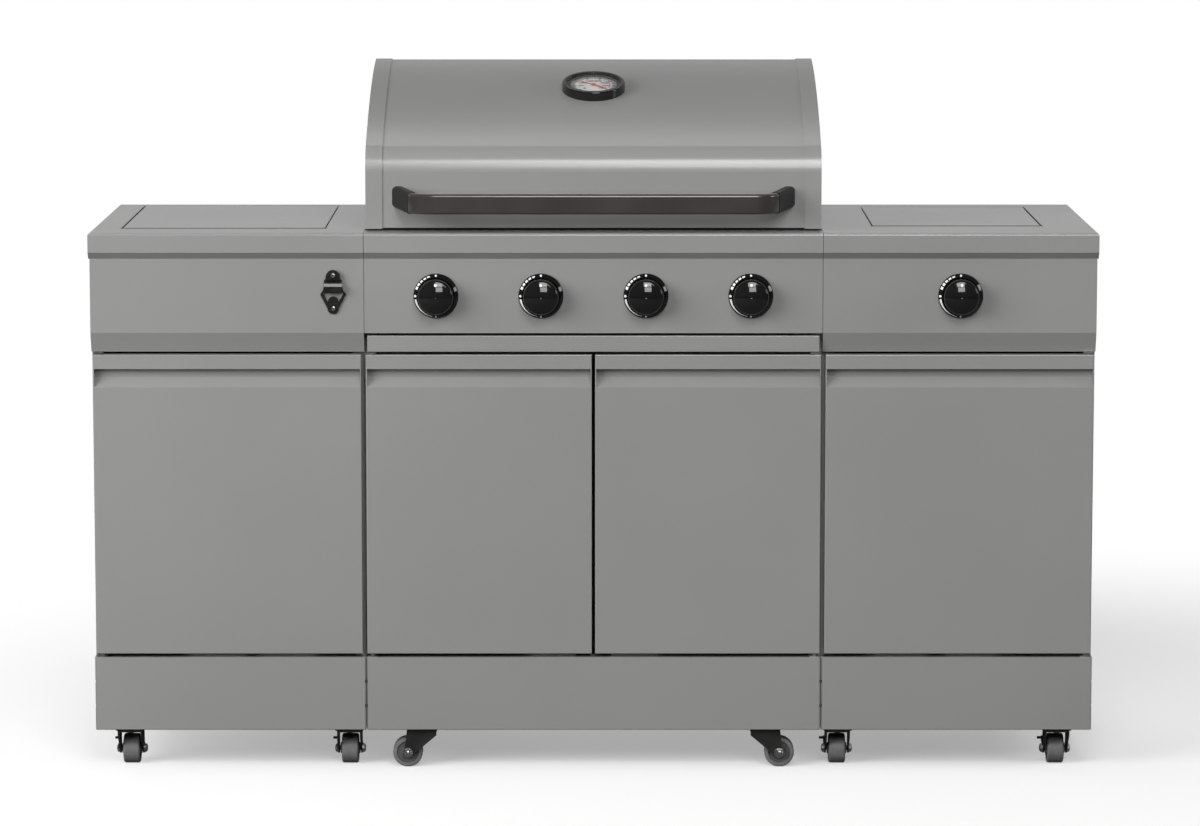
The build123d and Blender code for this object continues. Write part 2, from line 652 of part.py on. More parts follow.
def flame_tamers():
    """Four folded roofs over the burners."""
    y = (LEDGE_Y + HEAVY_SHEET + 1, FIREBOX_BACK_Y - HEAVY_SHEET - 1)
    tamers = []
    for x in KNOBS_X:
        roof = Polygon(
            (-TAMER_HALF, 0),
            (0, TAMER_HEIGHT),
            (TAMER_HALF, 0),
            (TAMER_HALF - 3 * SHEET, 0),
            (0, TAMER_HEIGHT - 1.6 * SHEET),
            (-TAMER_HALF + 3 * SHEET, 0),
            align=None,
        )
        sheet = extrude(Plane.XZ.offset(-y[0]) * roof, y[0] - y[1], dir=(0, -1, 0))
        tamers.append(Pos(x, 0, TAMER_Z) * sheet)
    return tamers


def cooking_grates():
    """Cast grates side by side, each a frame with bars from front to back."""
    inner = grown((-FIREBOX_HALF, FIREBOX_HALF), -HEAVY_SHEET - GRATE_GAP)
    width = (inner[1] - inner[0] - (GRATE_COUNT - 1) * GRATE_GAP) / GRATE_COUNT
    y = (LEDGE_Y + HEAVY_SHEET + GRATE_GAP, FIREBOX_BACK_Y - HEAVY_SHEET - GRATE_GAP)
    z = (GRATE_Z, GRATE_Z + GRATE_HEIGHT)
    slot = (width - 2 * GRATE_FRAME - (GRATE_SLOTS - 1) * GRATE_BAR) / GRATE_SLOTS
    grates = []
    for place in range(GRATE_COUNT):
        left = inner[0] + place * (width + GRATE_GAP)
        grate = block((left, left + width), y, z)
        for row in range(GRATE_SLOTS):
            start = left + GRATE_FRAME + row * (slot + GRATE_BAR)
            grate -= block((start, start + slot), grown(y, -GRATE_FRAME), grown(z, 1))
        middle = (y[0] + y[1]) / 2
        grate += block((left, left + width), around(middle, GRATE_FRAME), (z[0], z[1] - 4))
        grates.append(grate)
    return grates


def warming_rack():
    """Wire rack on four legs that stands on the cooking grates."""
    y = (FRONT_Y + RACK_FRONT, FRONT_Y + RACK_FRONT + RACK_DEPTH)
    foot = GRATE_Z + GRATE_HEIGHT
    rack = None
    for x in (-RACK_HALF, RACK_HALF):
        side = block(around(x, 2 * RACK_WIRE), grown(y, RACK_WIRE), around(RACK_Z, 2 * RACK_WIRE))
        for leg_y in y:
            side += block(around(x, 2 * RACK_WIRE), around(leg_y, 2 * RACK_WIRE), (foot, RACK_Z))
        rack = side if rack is None else rack + side
    for wire in range(RACK_WIRES):
        wire_y = y[0] + wire * RACK_DEPTH / (RACK_WIRES - 1)
        rack += rod((-RACK_HALF, wire_y, RACK_Z), (RACK_HALF, wire_y, RACK_Z), 0.8 * RACK_WIRE)
    return rack


def gas_valve(x, panel_sheet):
    """Brass valve held to the back of its panel, with a bore for the knob's spindle and a nozzle."""
    y = (PANEL_Y + panel_sheet, FRONT_Y + BURNER_FRONT - 3)
    body = block(around(x, 2 * VALVE_HALF), y, around(KNOB_Z, 2 * VALVE_HALF))
    body += block(around(x, 1.4 * VALVE_HALF), (y[1] - 12, y[1]), (PIPE_Z, KNOB_Z))
    body += rod((x, y[1] - 1, KNOB_Z), (x, FRONT_Y + BURNER_FRONT + 14, KNOB_Z), NOZZLE_RADIUS)
    body -= rod(
        (x, y[0] - 1, KNOB_Z), (x, PANEL_Y + SPINDLE_DEPTH + 1, KNOB_Z), SPINDLE_RADIUS + RUNNING_FIT
    )
    return body - rod((x - 20, PIPE_Y, PIPE_Z), (x + 20, PIPE_Y, PIPE_Z), PIPE_RADIUS)


def inlet_x():
    """X of the gas inlet, between the grease tray's rail and the cabinet wall."""
    return (FIREBOX_HALF + TRAY_HALF + TRAY_FLANGE) / 2


def gas_manifold():
    """Gas pipe behind the panels with an inlet nipple that points down, and its five valves."""
    pipe = rod((KNOBS_X[0] - 30, PIPE_Y, PIPE_Z), (SIDE_KNOB_X + 30, PIPE_Y, PIPE_Z), PIPE_RADIUS)
    collar = PIPE_Z - PIPE_RADIUS - INLET_COLLAR
    low = collar - INLET_LENGTH
    pipe += Pos(inlet_x(), PIPE_Y, collar) * extrude(RegularPolygon(INLET_RADIUS + 3, 6), PIPE_Z - collar)
    pipe += rod((inlet_x(), PIPE_Y, PIPE_Z), (inlet_x(), PIPE_Y, low), INLET_RADIUS)
    pipe -= rod((inlet_x(), PIPE_Y, low - 1), (inlet_x(), PIPE_Y, PIPE_Z), INLET_RADIUS - 2.5)
    valves = [gas_valve(x, HEAVY_SHEET) for x in KNOBS_X]
    return [pipe] + valves + [gas_valve(SIDE_KNOB_X, SHEET)]


def knob_place(x):
    """Plane on the control panel, facing out, at a knob."""
    return Plane(origin=(x, PANEL_Y, KNOB_Z), x_dir=(1, 0, 0), z_dir=(0, -1, 0))


def knob_bezel(x):
    """Dished ring behind a knob."""
    inner = KNOB_RADIUS + 1.5
    profile = [
        (SPINDLE_HOLE + 1.5, 0),
        (BEZEL_RADIUS, 0),
        (BEZEL_RADIUS, 2.5),
        (BEZEL_RADIUS - 1.2, 4.2),
        (inner + 1.2, BEZEL_HEIGHT),
        (inner, BEZEL_HEIGHT),
        (inner, BEZEL_FLOOR),
        (SPINDLE_HOLE + 1.5, BEZEL_FLOOR),
    ]
    return revolved(profile, knob_place(x))


def knob(x):
    """Domed knob moulded on the spindle of its valve."""
    low = BEZEL_FLOOR + KNOB_GAP
    shoulder = KNOB_REACH - 12.0
    dome_half = KNOB_RADIUS - 5.5
    dome_rise = KNOB_REACH - shoulder - 6.6
    dome_radius = (dome_half**2 + dome_rise**2) / (2 * dome_rise)
    half_turn = asin(dome_half / dome_radius) / 2
    dome_middle = (dome_radius * sin(half_turn), KNOB_REACH - dome_radius * (1 - cos(half_turn)))
    with BuildPart() as turned:
        with BuildSketch(Plane.XZ):
            with BuildLine():
                Polyline((0, -SPINDLE_DEPTH), (SPINDLE_RADIUS, -SPINDLE_DEPTH), (SPINDLE_RADIUS, low))
                Polyline((SPINDLE_RADIUS, low), (KNOB_RADIUS - 1, low), (KNOB_RADIUS, low + 1))
                Line((KNOB_RADIUS, low + 1), (KNOB_RADIUS, shoulder))
                ThreePointArc(
                    (KNOB_RADIUS, shoulder),
                    (KNOB_RADIUS - 1.6, shoulder + 4.2),
                    (dome_half, KNOB_REACH - dome_rise),
                )
                ThreePointArc((dome_half, KNOB_REACH - dome_rise), dome_middle, (0, KNOB_REACH))
                Line((0, KNOB_REACH), (0, -SPINDLE_DEPTH))
            make_face()
        revolve(axis=Axis.Z)
    return knob_place(x) * turned.part


def door(x, hinge_edge):
    """Folded door with a finger recess under its top strip and hinge blocks at one edge."""
    y = (DOOR_Y, DOOR_BACK_Y)
    z = (DOOR_BOTTOM_Z, DOOR_TOP_Z)
    grip_top = DOOR_TOP_Z - GRIP_STRIP
    grip_bottom = grip_top - GRIP_HEIGHT
    grip_back = y[0] + GRIP_DEPTH
    recess = [
        (y[0], grip_top),
        (grip_back, grip_top),
        (grip_back, grip_bottom + GRIP_SLOPE),
        (y[0], grip_bottom),
    ]
    outer = block(x, y, z)
    outer = fillet(edges_at(outer, Axis.Y, y[0]), DOOR_ROUND)
    cut = Polygon(*recess, (y[0] - 5, grip_bottom), (y[0] - 5, grip_top), align=None)
    outer -= prism_x(cut, grown(x, -2 * SHEET))
    outline = [(y[0], z[0]), *reversed(recess), (y[0], z[1]), (y[1], z[1]), (y[1], z[0])]
    cavity = offset(Polygon(*outline, align=None), -SHEET, kind=Kind.INTERSECTION)
    panel = outer - prism_x(cavity, grown(x, -SHEET))
    open_z = (z[0] + 2 * FLANGE, grip_bottom - FLANGE)
    panel -= block(grown(x, -2 * FLANGE), (y[1] - 2 * SHEET, y[1] + SHEET), open_z)
    inward = 1 if hinge_edge == x[0] else -1
    pivot_x = hinge_edge + inward * HINGE_INSET
    pivot_y = y[0] + HINGE_INSET
    width = sorted((hinge_edge + inward * SHEET / 2, hinge_edge + inward * 2 * HINGE_INSET))
    for end, away in ((z[0], 1), (z[1], -1)):
        height = sorted((end + away * SHEET / 2, end + away * (HINGE_PIN_LENGTH + 4)))
        panel += block(width, grown(y, -SHEET / 2), height)
        hole = rod(
            (pivot_x, pivot_y, end - away), (pivot_x, pivot_y, end + away * (HINGE_PIN_LENGTH + 1)),
            HINGE_PIN_RADIUS + RUNNING_FIT,
        )
        panel -= hole
    return panel


def door_hinge(hinge_edge, inward, top):
    """Angle bracket on the door jamb with a collar and a pin for one end of a door."""
    pivot_y = DOOR_Y + HINGE_INSET
    pivot_x = hinge_edge + inward * HINGE_INSET
    end = DOOR_TOP_Z if top else DOOR_BOTTOM_Z
    away = -1 if top else 1
    plate_low = end + 1.5 if top else BASE_TOP_Z
    plate = (plate_low, plate_low + HINGE_PLATE)
    width = sorted((hinge_edge + inward, hinge_edge + inward * (2 * HINGE_INSET - 1)))
    leg = sorted((plate_low + (HINGE_PLATE if top else 0), plate_low + away * 22))
    bracket = block(width, (pivot_y - 6, BODY_FRONT_Y), plate)
    bracket += block(width, (BODY_FRONT_Y - HINGE_PLATE, BODY_FRONT_Y), leg)
    face = plate[0] if top else plate[1]
    seat = (pivot_x, pivot_y, face)
    bracket += rod(seat, (pivot_x, pivot_y, end + away * HINGE_PIN_LENGTH), HINGE_PIN_RADIUS)
    return bracket + rod(seat, (pivot_x, pivot_y, end - away * 0.4), HINGE_PIN_RADIUS + 2)


def tray_top_z():
    """Top of the grease tray's flange, under the top of the front strip."""
    return FASCIA_BOTTOM_Z + TRAY_STRIP_LIFT + TRAY_STRIP_HEIGHT - 2


def grease_tray():
    """Shallow tray with side flanges that ride on rails, and its folded front strip."""
    z = (FASCIA_BOTTOM_Z + TRAY_STRIP_LIFT, FASCIA_BOTTOM_Z + TRAY_STRIP_LIFT + TRAY_STRIP_HEIGHT)
    strip_back = DOOR_Y + TRAY_STRIP_THICKNESS
    strip_x = (-TRAY_STRIP_HALF, TRAY_STRIP_HALF)
    outer = block(strip_x, (DOOR_Y, strip_back), z)
    outer = fillet(edges_at(outer, Axis.Y, DOOR_Y), DOOR_ROUND)
    strip = outer - block(
        (-TRAY_HALF - 3 * TRAY_FLANGE, TRAY_HALF + 3 * TRAY_FLANGE),
        (DOOR_Y + SHEET, strip_back - SHEET),
        grown(z, -SHEET),
    )
    x = (-TRAY_HALF, TRAY_HALF)
    y = (strip_back, strip_back + TRAY_LENGTH)
    top = tray_top_z()
    pan = block(x, y, (top - TRAY_HEIGHT, top))
    pan += block(grown(x, TRAY_FLANGE), y, (top - SHEET, top))
    pan -= block(grown(x, -SHEET), grown(y, -SHEET), (top - TRAY_HEIGHT + SHEET, top + SHEET))
    return strip, pan


def hood_bend_centre(edge, radius):
    """Z of the centre of a bend between an upright line and the top arc of the hood."""
    reach = HOOD_ARC_CENTRE[0] - edge
    return HOOD_ARC_CENTRE[1] + sqrt((HOOD_ARC - radius) ** 2 - reach**2)


def arc_point(centre, toward, radius):
    """Point at a radius from a centre, in the direction of another point."""
    run = (toward[0] - centre[0], toward[1] - centre[1])
    length = sqrt(run[0] ** 2 + run[1] ** 2)
    return (centre[0] + run[0] * radius / length, centre[1] + run[1] * radius / length)


def hood_face(grow, foot):
    """Side outline of the hood, grown outward, closed by a list of (back, Z) points."""
    top = HOOD_ARC_CENTRE
    front = (HOOD_FRONT + HOOD_BEND, hood_bend_centre(HOOD_FRONT + HOOD_BEND, HOOD_BEND))
    rear = (HOOD_BACK - HOOD_REAR_BEND, hood_bend_centre(HOOD_BACK - HOOD_REAR_BEND, HOOD_REAR_BEND))
    arc_start = arc_point(top, front, HOOD_ARC + grow)
    arc_end = arc_point(top, rear, HOOD_ARC + grow)
    arc_middle = arc_point(top, ((front[0] + rear[0]) / 2, (front[1] + rear[1]) / 2), HOOD_ARC + grow)
    front_start = (HOOD_FRONT - grow, front[1])
    rear_end = (HOOD_BACK + grow, rear[1])
    front_toward = (front_start[0] + arc_start[0], front_start[1] + arc_start[1])
    rear_toward = (rear_end[0] + arc_end[0], rear_end[1] + arc_end[1])
    front_middle = arc_point(front, (front_toward[0] / 2, front_toward[1] / 2), HOOD_BEND + grow)
    rear_middle = arc_point(rear, (rear_toward[0] / 2, rear_toward[1] / 2), HOOD_REAR_BEND + grow)
    lines = [
        Polyline(rear_end, *foot, front_start),
        ThreePointArc(front_start, front_middle, arc_start),
        ThreePointArc(arc_start, arc_middle, arc_end),
        ThreePointArc(arc_end, rear_middle, rear_end),
    ]
    return Pos(FRONT_Y, 0) * make_face(lines)


def thermometer_place():
    """Plane on the top of the hood, facing out, under the thermometer."""
    lean = asin((HOOD_ARC_CENTRE[0] - THERMO_BACK) / HOOD_ARC)
    height = HOOD_ARC_CENTRE[1] + HOOD_ARC * cos(lean)
    return Plane(
        origin=(0, FRONT_Y + THERMO_BACK, height), x_dir=(1, 0, 0), z_dir=(0, -sin(lean), cos(lean))
    )


def hood_skin():
    """Bent sheet of the hood with a turned-in lip at the front and a hole for the probe."""
    x = grown((-HOOD_HALF, HOOD_HALF), CAP_OVERLAP - CAP_WIDTH)
    outside = hood_face(0, [(HOOD_BACK, HOOD_REAR_BOTTOM_Z), (HOOD_FRONT, HOOD_BOTTOM_Z)])
    below = 30.0
    inside = hood_face(
        -SHEET,
        [(HOOD_BACK - SHEET, HOOD_REAR_BOTTOM_Z - below), (HOOD_FRONT + SHEET, HOOD_BOTTOM_Z - below)],
    )
    skin = prism_x(outside - inside, x)
    skin += block(x, (HOOD_FRONT_Y, HOOD_FRONT_Y + HOOD_LIP), (HOOD_BOTTOM_Z, HOOD_BOTTOM_Z + SHEET))
    return skin - thermometer_place() * Cylinder(PROBE_RADIUS + 1, 20)


def hood_cap(side):
    """End cap: a side plate and a band over the edge of the skin, open underneath."""
    bottom = HOOD_BOTTOM_Z - CAP_DROP
    drop = PIVOT_Z - bottom
    edge = sorted((side * HOOD_HALF, side * (HOOD_HALF - CAP_WIDTH)))
    band = sorted((side * (HOOD_HALF - HEAVY_SHEET), side * (HOOD_HALF - CAP_WIDTH - 1)))
    rear = (HOOD_BACK + CAP_PROUD, HOOD_REAR_BOTTOM_Z)
    foot = [rear, (PIVOT_BACK + drop, PIVOT_Z), (PIVOT_BACK, bottom), (HOOD_FRONT - CAP_PROUD, bottom)]
    straight = hood_face(CAP_PROUD, foot)
    pivot_disc = Pos(FRONT_Y + PIVOT_BACK, PIVOT_Z) * Circle(drop)
    plate = prism_x(straight + pivot_disc, edge)
    inner_grow = CAP_PROUD - HEAVY_SHEET
    cavity = hood_face(
        inner_grow,
        [
            (HOOD_BACK + inner_grow, PIVOT_Z - drop - 10),
            (HOOD_FRONT - inner_grow, bottom - 10),
        ],
    )
    cap = plate - prism_x(cavity, band)
    pin = PIVOT_PIN_RADIUS + RUNNING_FIT
    return cap - rod((edge[0] - 1, PIVOT_Y, PIVOT_Z), (edge[1] + 1, PIVOT_Y, PIVOT_Z), pin)


def hood_hinge(side):
    """Bracket on the side of the firebox with the pin that the hood turns on."""
    base = FIREBOX_BACK_Y
    foot_z = BODY_TOP_Z + HOOD_HINGE_LIFT
    arm = Polygon(
        (base - HOOD_HINGE_FOOT, foot_z),
        (base - SHEET, foot_z),
        (base + HOOD_HINGE_EYE / 3, FIREBOX_RIM_Z),
        (PIVOT_Y + 0.92 * HOOD_HINGE_EYE, PIVOT_Z - 0.38 * HOOD_HINGE_EYE),
        (PIVOT_Y - 0.38 * HOOD_HINGE_EYE, PIVOT_Z + 0.92 * HOOD_HINGE_EYE),
        (base - HOOD_HINGE_FOOT, FIREBOX_RIM_Z),
        align=None,
    )
    outline = arm + Pos(PIVOT_Y, PIVOT_Z) * Circle(HOOD_HINGE_EYE)
    inner = side * FIREBOX_HALF
    plate = prism_x(outline, sorted((inner, inner + side * HOOD_HINGE_PLATE)))
    pin_end = (side * (HOOD_HALF - 0.2), PIVOT_Y, PIVOT_Z)
    return plate + rod((inner, PIVOT_Y, PIVOT_Z), pin_end, PIVOT_PIN_RADIUS)


def handle_bend_start():
    """X where the straight middle of the handle ends."""
    turn = radians(HANDLE_TURN)
    bend_depth = HANDLE_BEND * (1 - cos(turn))
    lean = (HANDLE_REACH - bend_depth) / (sin(turn) / cos(turn))
    return HANDLE_HALF - POST_FOOT / 2 - lean - HANDLE_BEND * sin(turn)


def handle_end(side):
    """Plane across the end of the handle bar, facing along it toward the hood."""
    turn = radians(HANDLE_TURN)
    x = handle_bend_start() + HANDLE_BEND * sin(turn)
    y = HOOD_FRONT_Y - HANDLE_REACH + HANDLE_BEND * (1 - cos(turn))
    return Plane(origin=(side * x, y, HANDLE_Z), x_dir=(0, 0, 1), z_dir=(side * cos(turn), sin(turn), 0))


def handle_bar():
    """Flat bar with rounded edges, bent toward the hood at both ends."""
    start = handle_bend_start()
    y = HOOD_FRONT_Y - HANDLE_REACH
    right = handle_end(1).origin
    left = handle_end(-1).origin
    half = radians(HANDLE_TURN / 2)
    bend = (start + HANDLE_BEND * sin(half), y + HANDLE_BEND * (1 - cos(half)))
    path = Wire(
        [
            ThreePointArc(left, (-bend[0], bend[1], HANDLE_Z), (-start, y, HANDLE_Z)),
            Line((-start, y, HANDLE_Z), (start, y, HANDLE_Z)),
            ThreePointArc((start, y, HANDLE_Z), (bend[0], bend[1], HANDLE_Z), right),
        ]
    )
    across = Plane(origin=left, x_dir=(0, 0, 1), z_dir=path % 0)
    section = across * RectangleRounded(HANDLE_HEIGHT, HANDLE_THICKNESS, 5)
    return sweep(section, path)


def handle_post(side):
    """Moulded post from the end of the handle bar to the front of the hood."""
    end = handle_end(side)
    foot = Plane(
        origin=(side * (HANDLE_HALF - POST_FOOT / 2), HOOD_FRONT_Y, HANDLE_Z + HANDLE_RISE),
        x_dir=(0, 0, 1),
        z_dir=(0, 1, 0),
    )
    near = end * RectangleRounded(HANDLE_HEIGHT + POST_GROW, HANDLE_THICKNESS + POST_GROW, 5)
    far = foot * RectangleRounded(HANDLE_HEIGHT + POST_GROW, POST_FOOT, POST_ROUND)
    return loft([near, far])


def thermometer_case():
    """Round case with a stepped well for the dial and lens, and the probe under it."""
    place = thermometer_place()
    outer = Cylinder(THERMO_RADIUS, THERMO_HEIGHT + 4, align=ROUND_START)
    outer = Pos(0, 0, -4) * outer
    outer = fillet(edges_at(outer, Axis.Z, THERMO_HEIGHT), 3)
    well = Cylinder(THERMO_DIAL_RADIUS, THERMO_WELL + 1, align=ROUND_START)
    outer -= Pos(0, 0, THERMO_HEIGHT - THERMO_WELL) * well
    seat = THERMO_LENS + THERMO_LENS_RECESS
    step = Cylinder(THERMO_DIAL_RADIUS + THERMO_LENS_SEAT, seat + 1, align=ROUND_START)
    outer -= Pos(0, 0, THERMO_HEIGHT - seat) * step
    case = place * outer
    drum = rod(
        (-2 * THERMO_RADIUS, FRONT_Y + HOOD_ARC_CENTRE[0], HOOD_ARC_CENTRE[1]),
        (2 * THERMO_RADIUS, FRONT_Y + HOOD_ARC_CENTRE[0], HOOD_ARC_CENTRE[1]),
        HOOD_ARC,
    )
    case -= drum
    case += place * Pos(0, 0, -PROBE_LENGTH) * Cylinder(PROBE_RADIUS, PROBE_LENGTH + 3, align=ROUND_START)
    dial = Pos(0, 0, THERMO_HEIGHT - THERMO_WELL) * Cylinder(
        THERMO_DIAL_RADIUS - 0.2, THERMO_DIAL, align=ROUND_START
    )
    dial += Pos(0, 0, THERMO_HEIGHT - THERMO_WELL) * Cylinder(NEEDLE_PIN_RADIUS, 3.2, align=ROUND_START)
    return case, place * dial


def thermometer_lens():
    """Flat glass disc in the step of the case."""
    glass = Cylinder(THERMO_DIAL_RADIUS + THERMO_LENS_SEAT - 0.3, THERMO_LENS, align=ROUND_START)
    return thermometer_place() * Pos(0, 0, THERMO_HEIGHT - THERMO_LENS - THERMO_LENS_RECESS) * glass


def thermometer_needle():
    """Thin pointer with a broad tail and a hub on the pin of the dial."""
    pointer = Polygon((-2.4, -22), (2.4, -22), (0.6, 30), (-0.6, 30), align=None)
    shape = extrude(pointer + Circle(4.5), 0.8)
    shape += Cylinder(3, 1.8, align=ROUND_START)
    shape -= Cylinder(NEEDLE_PIN_RADIUS + RUNNING_FIT, 10)
    lift = THERMO_HEIGHT - THERMO_WELL + THERMO_DIAL + 0.8
    return thermometer_place() * Pos(0, 0, lift) * Rot(0, 0, NEEDLE_REST) * shape


def wheel_solid(bore):
    """Wheel with a crowned tread, turned about X."""
    with BuildPart() as turned:
        with BuildSketch(Plane.XZ):
            with BuildLine():
                Polyline(
                    (WHEEL_RADIUS, -TREAD_HALF),
                    (WHEEL_RADIUS, TREAD_HALF),
                )
                ThreePointArc(
                    (WHEEL_RADIUS, TREAD_HALF),
                    (WHEEL_RADIUS - 0.9, WHEEL_HALF - 1.1),
                    (WHEEL_RADIUS - 3.6, WHEEL_HALF),
                )
                Polyline(
                    (WHEEL_RADIUS - 3.6, WHEEL_HALF),
                    (WHEEL_RADIUS - 6.5, WHEEL_HALF),
                    (WHEEL_RADIUS - 7.5, WHEEL_HALF - 2),
                    (11, WHEEL_HALF - 2.5),
                    (9, HUB_HALF),
                    (bore, HUB_HALF),
                    (bore, -HUB_HALF),
                    (9, -HUB_HALF),
                    (11, -WHEEL_HALF + 2.5),
                    (WHEEL_RADIUS - 7.5, -WHEEL_HALF + 2),
                    (WHEEL_RADIUS - 6.5, -WHEEL_HALF),
                    (WHEEL_RADIUS - 3.6, -WHEEL_HALF),
                )
                ThreePointArc(
                    (WHEEL_RADIUS - 3.6, -WHEEL_HALF),
                    (WHEEL_RADIUS - 0.9, -WHEEL_HALF + 1.1),
                    (WHEEL_RADIUS, -TREAD_HALF),
                )
            make_face()
        revolve(axis=Axis.Z)
    return Rot(0, 90, 0) * turned.part


def fork_cheeks(top, behind, ahead, axle):
    """Two side plates of a wheel bracket that trails along +Y, with holes for the axle."""
    outline = Polygon(
        (-behind, top),
        (ahead, top),
        (max(ahead, axle + 4), WHEEL_RADIUS + 16),
        (axle + 8, WHEEL_RADIUS - 2),
        (axle - 6, WHEEL_RADIUS - 6),
        (-behind, top - 8),
        align=None,
    )
    outline += Pos(axle, WHEEL_RADIUS) * Circle(8.5)
    outline -= Pos(axle, WHEEL_RADIUS) * Circle(AXLE_RADIUS + RUNNING_FIT)
    cheeks = prism_x(outline, (-FORK_HALF, -FORK_HALF + FORK_WALL))
    cheeks += prism_x(outline, (FORK_HALF - FORK_WALL, FORK_HALF))
    return cheeks


def axle_bolt():
    """Axle bolt with a hex head and a nut, outside the cheeks of a fork."""
    head = 5.0
    bolt = rod((-FORK_HALF - head, TRAIL, WHEEL_RADIUS), (FORK_HALF + head, TRAIL, WHEEL_RADIUS), AXLE_RADIUS)
    for start in (-FORK_HALF - head + 1, FORK_HALF):
        hexagon = Plane.YZ.offset(start) * (Pos(TRAIL, WHEEL_RADIUS) * RegularPolygon(6.5, 6))
        bolt += extrude(hexagon, head - 1)
    return bolt


def brake_tab():
    """Small pressed lever on the outside of a fork."""
    low = WHEEL_RADIUS + BRAKE_LIFT
    high = low + BRAKE_HEIGHT
    pedal = high - BRAKE_HEIGHT / 3
    outline = Polygon(
        (TRAIL - BRAKE_HEIGHT / 3, low),
        (TRAIL - 0.8 * BRAKE_HEIGHT, high - BRAKE_HEIGHT / 3),
        (TRAIL + BRAKE_HEIGHT / 2, high),
        (TRAIL + 0.7 * BRAKE_HEIGHT, low + BRAKE_HEIGHT / 4),
        align=None,
    )
    tab = prism_x(outline, (-FORK_HALF - 0.8 * FORK_WALL, -FORK_HALF))
    depth = (TRAIL + BRAKE_HEIGHT / 6, TRAIL + 0.6 * BRAKE_HEIGHT)
    height = (pedal - BRAKE_HEIGHT / 10, pedal + BRAKE_HEIGHT / 5)
    return tab + block((-FORK_HALF - BRAKE_REACH, -FORK_HALF), depth, height)


def caster_fork(braked):
    """Swivelling fork, axle bolt and, on some, a brake tab. It trails along +Y from its kingpin."""
    top = CASTER_HEIGHT - PLATE_THICKNESS - SWIVEL_GAP
    fork = fork_cheeks(top, FORK_BEHIND, FORK_AHEAD, TRAIL)
    fork += block((-FORK_HALF, FORK_HALF), (-FORK_BEHIND, FORK_AHEAD), (top - FORK_WALL, top))
    fork -= Pos(0, 0, top) * Cylinder(KINGPIN_RADIUS + RUNNING_FIT, 20)
    pieces = [fork, axle_bolt()]
    if braked:
        pieces.append(brake_tab())
    return pieces


def caster_top():
    """Square top plate of a caster with rounded corners."""
    side = around(0, PLATE_SIZE)
    plate = block(side, side, (CASTER_HEIGHT - PLATE_THICKNESS, CASTER_HEIGHT))
    return fillet(plate.edges().filter_by(Axis.Z), 2 * PLATE_THICKNESS)


def caster_plate():
    """Top plate of a swivelling caster with its headed kingpin."""
    plate = caster_top()
    under = CASTER_HEIGHT - PLATE_THICKNESS - 2 * SWIVEL_GAP - FORK_WALL
    plate += rod((0, 0, CASTER_HEIGHT - 1), (0, 0, under - 3), KINGPIN_RADIUS)
    return plate + rod((0, 0, under), (0, 0, under - 3), KINGPIN_HEAD)


def rear_bracket():
    """Fixed bracket for one end of a rear axle."""
    plate = caster_top()
    return plate + fork_cheeks(CASTER_HEIGHT - 1, 22, 22, 0)


def rear_wheel_pair(places):
    """Two wheels on one axle that turns in a pair of fixed brackets."""
    axle_y = FRONT_Y + REAR_AXLE
    ends = (min(places) - FORK_HALF - 6, max(places) + FORK_HALF + 6)
    axle = rod((ends[0], axle_y, WHEEL_RADIUS), (ends[1], axle_y, WHEEL_RADIUS), AXLE_RADIUS)
    wheels = [Pos(x, axle_y, WHEEL_RADIUS) * wheel_solid(AXLE_RADIUS + 0.02) for x in places]
    return [axle] + wheels


def front_casters():
    """X of the kingpin, turn about it and brake of each front caster, from left to right."""
    near, far = SIDE_CASTERS_X
    return [
        (-far, 0, True),
        (-near, 0, True),
        (-GRILL_CASTER_X, 90, False),
        (GRILL_CASTER_X, -90, False),
        (near, 0, True),
        (far, 0, True),
    ]


def rear_casters():
    """X of the wheels on each rear axle, for the left, grill and right modules."""
    near, far = SIDE_CASTERS_X
    return {"left": (-far, -near), "grill": (-GRILL_CASTER_X, GRILL_CASTER_X), "right": (near, far)}


def save(name, *shapes):
    """Write one node, as its solid or as a group of separate solids."""
    solids = [solid for shape in shapes for solid in shape.solids()]
    export_step(solids[0] if len(solids) == 1 else Compound(solids), f"parts/{name}.step")


def build_cabinets():
    """Bases, wraps, fascias, doors and hinges."""
    pipe_hole = rod((HALF_GRILL - JAMB, PIPE_Y, PIPE_Z), (HALF_GRILL + JAMB, PIPE_Y, PIPE_Z), PIPE_RADIUS + 1.2)
    for name, x in (("left", LEFT_X), ("grill", GRILL_X), ("right", RIGHT_X)):
        save(f"{name}_base_pan", base_pan(x))
        deck = BODY_BACK_Y - FIREBOX_BACK_Y - 4 if name == "grill" else TOP_FLANGE
        save(f"{name}_cabinet_wrap", cabinet_wrap(x, deck) - vent_slots(x) - pipe_hole)
    save("left_fascia", side_fascia(LEFT_X))
    knob_hole = rod((SIDE_KNOB_X, PANEL_Y - 1, KNOB_Z), (SIDE_KNOB_X, PANEL_Y + 5, KNOB_Z), SPINDLE_HOLE)
    save("right_fascia", side_fascia(RIGHT_X) - knob_hole)
    save("control_panel", control_panel())
    right_door = (RIGHT_X[0] + DOOR_SEAM_INSET, RIGHT_X[1] - DOOR_OUTER_INSET)
    grill_door = (GRILL_DOOR_GAP / 2, GRILL_X[1] - GRILL_DOOR_SEAM_INSET)
    hinges = []
    for name, x, inward in (
        ("left_door", mirrored(right_door), 1),
        ("grill_left_door", mirrored(grill_door), 1),
        ("grill_right_door", grill_door, -1),
        ("right_door", right_door, -1),
    ):
        edge = x[0] if inward > 0 else x[1]
        save(name, door(x, edge))
        hinges += [door_hinge(edge, inward, True), door_hinge(edge, inward, False)]
    save("door_hinges", *hinges)


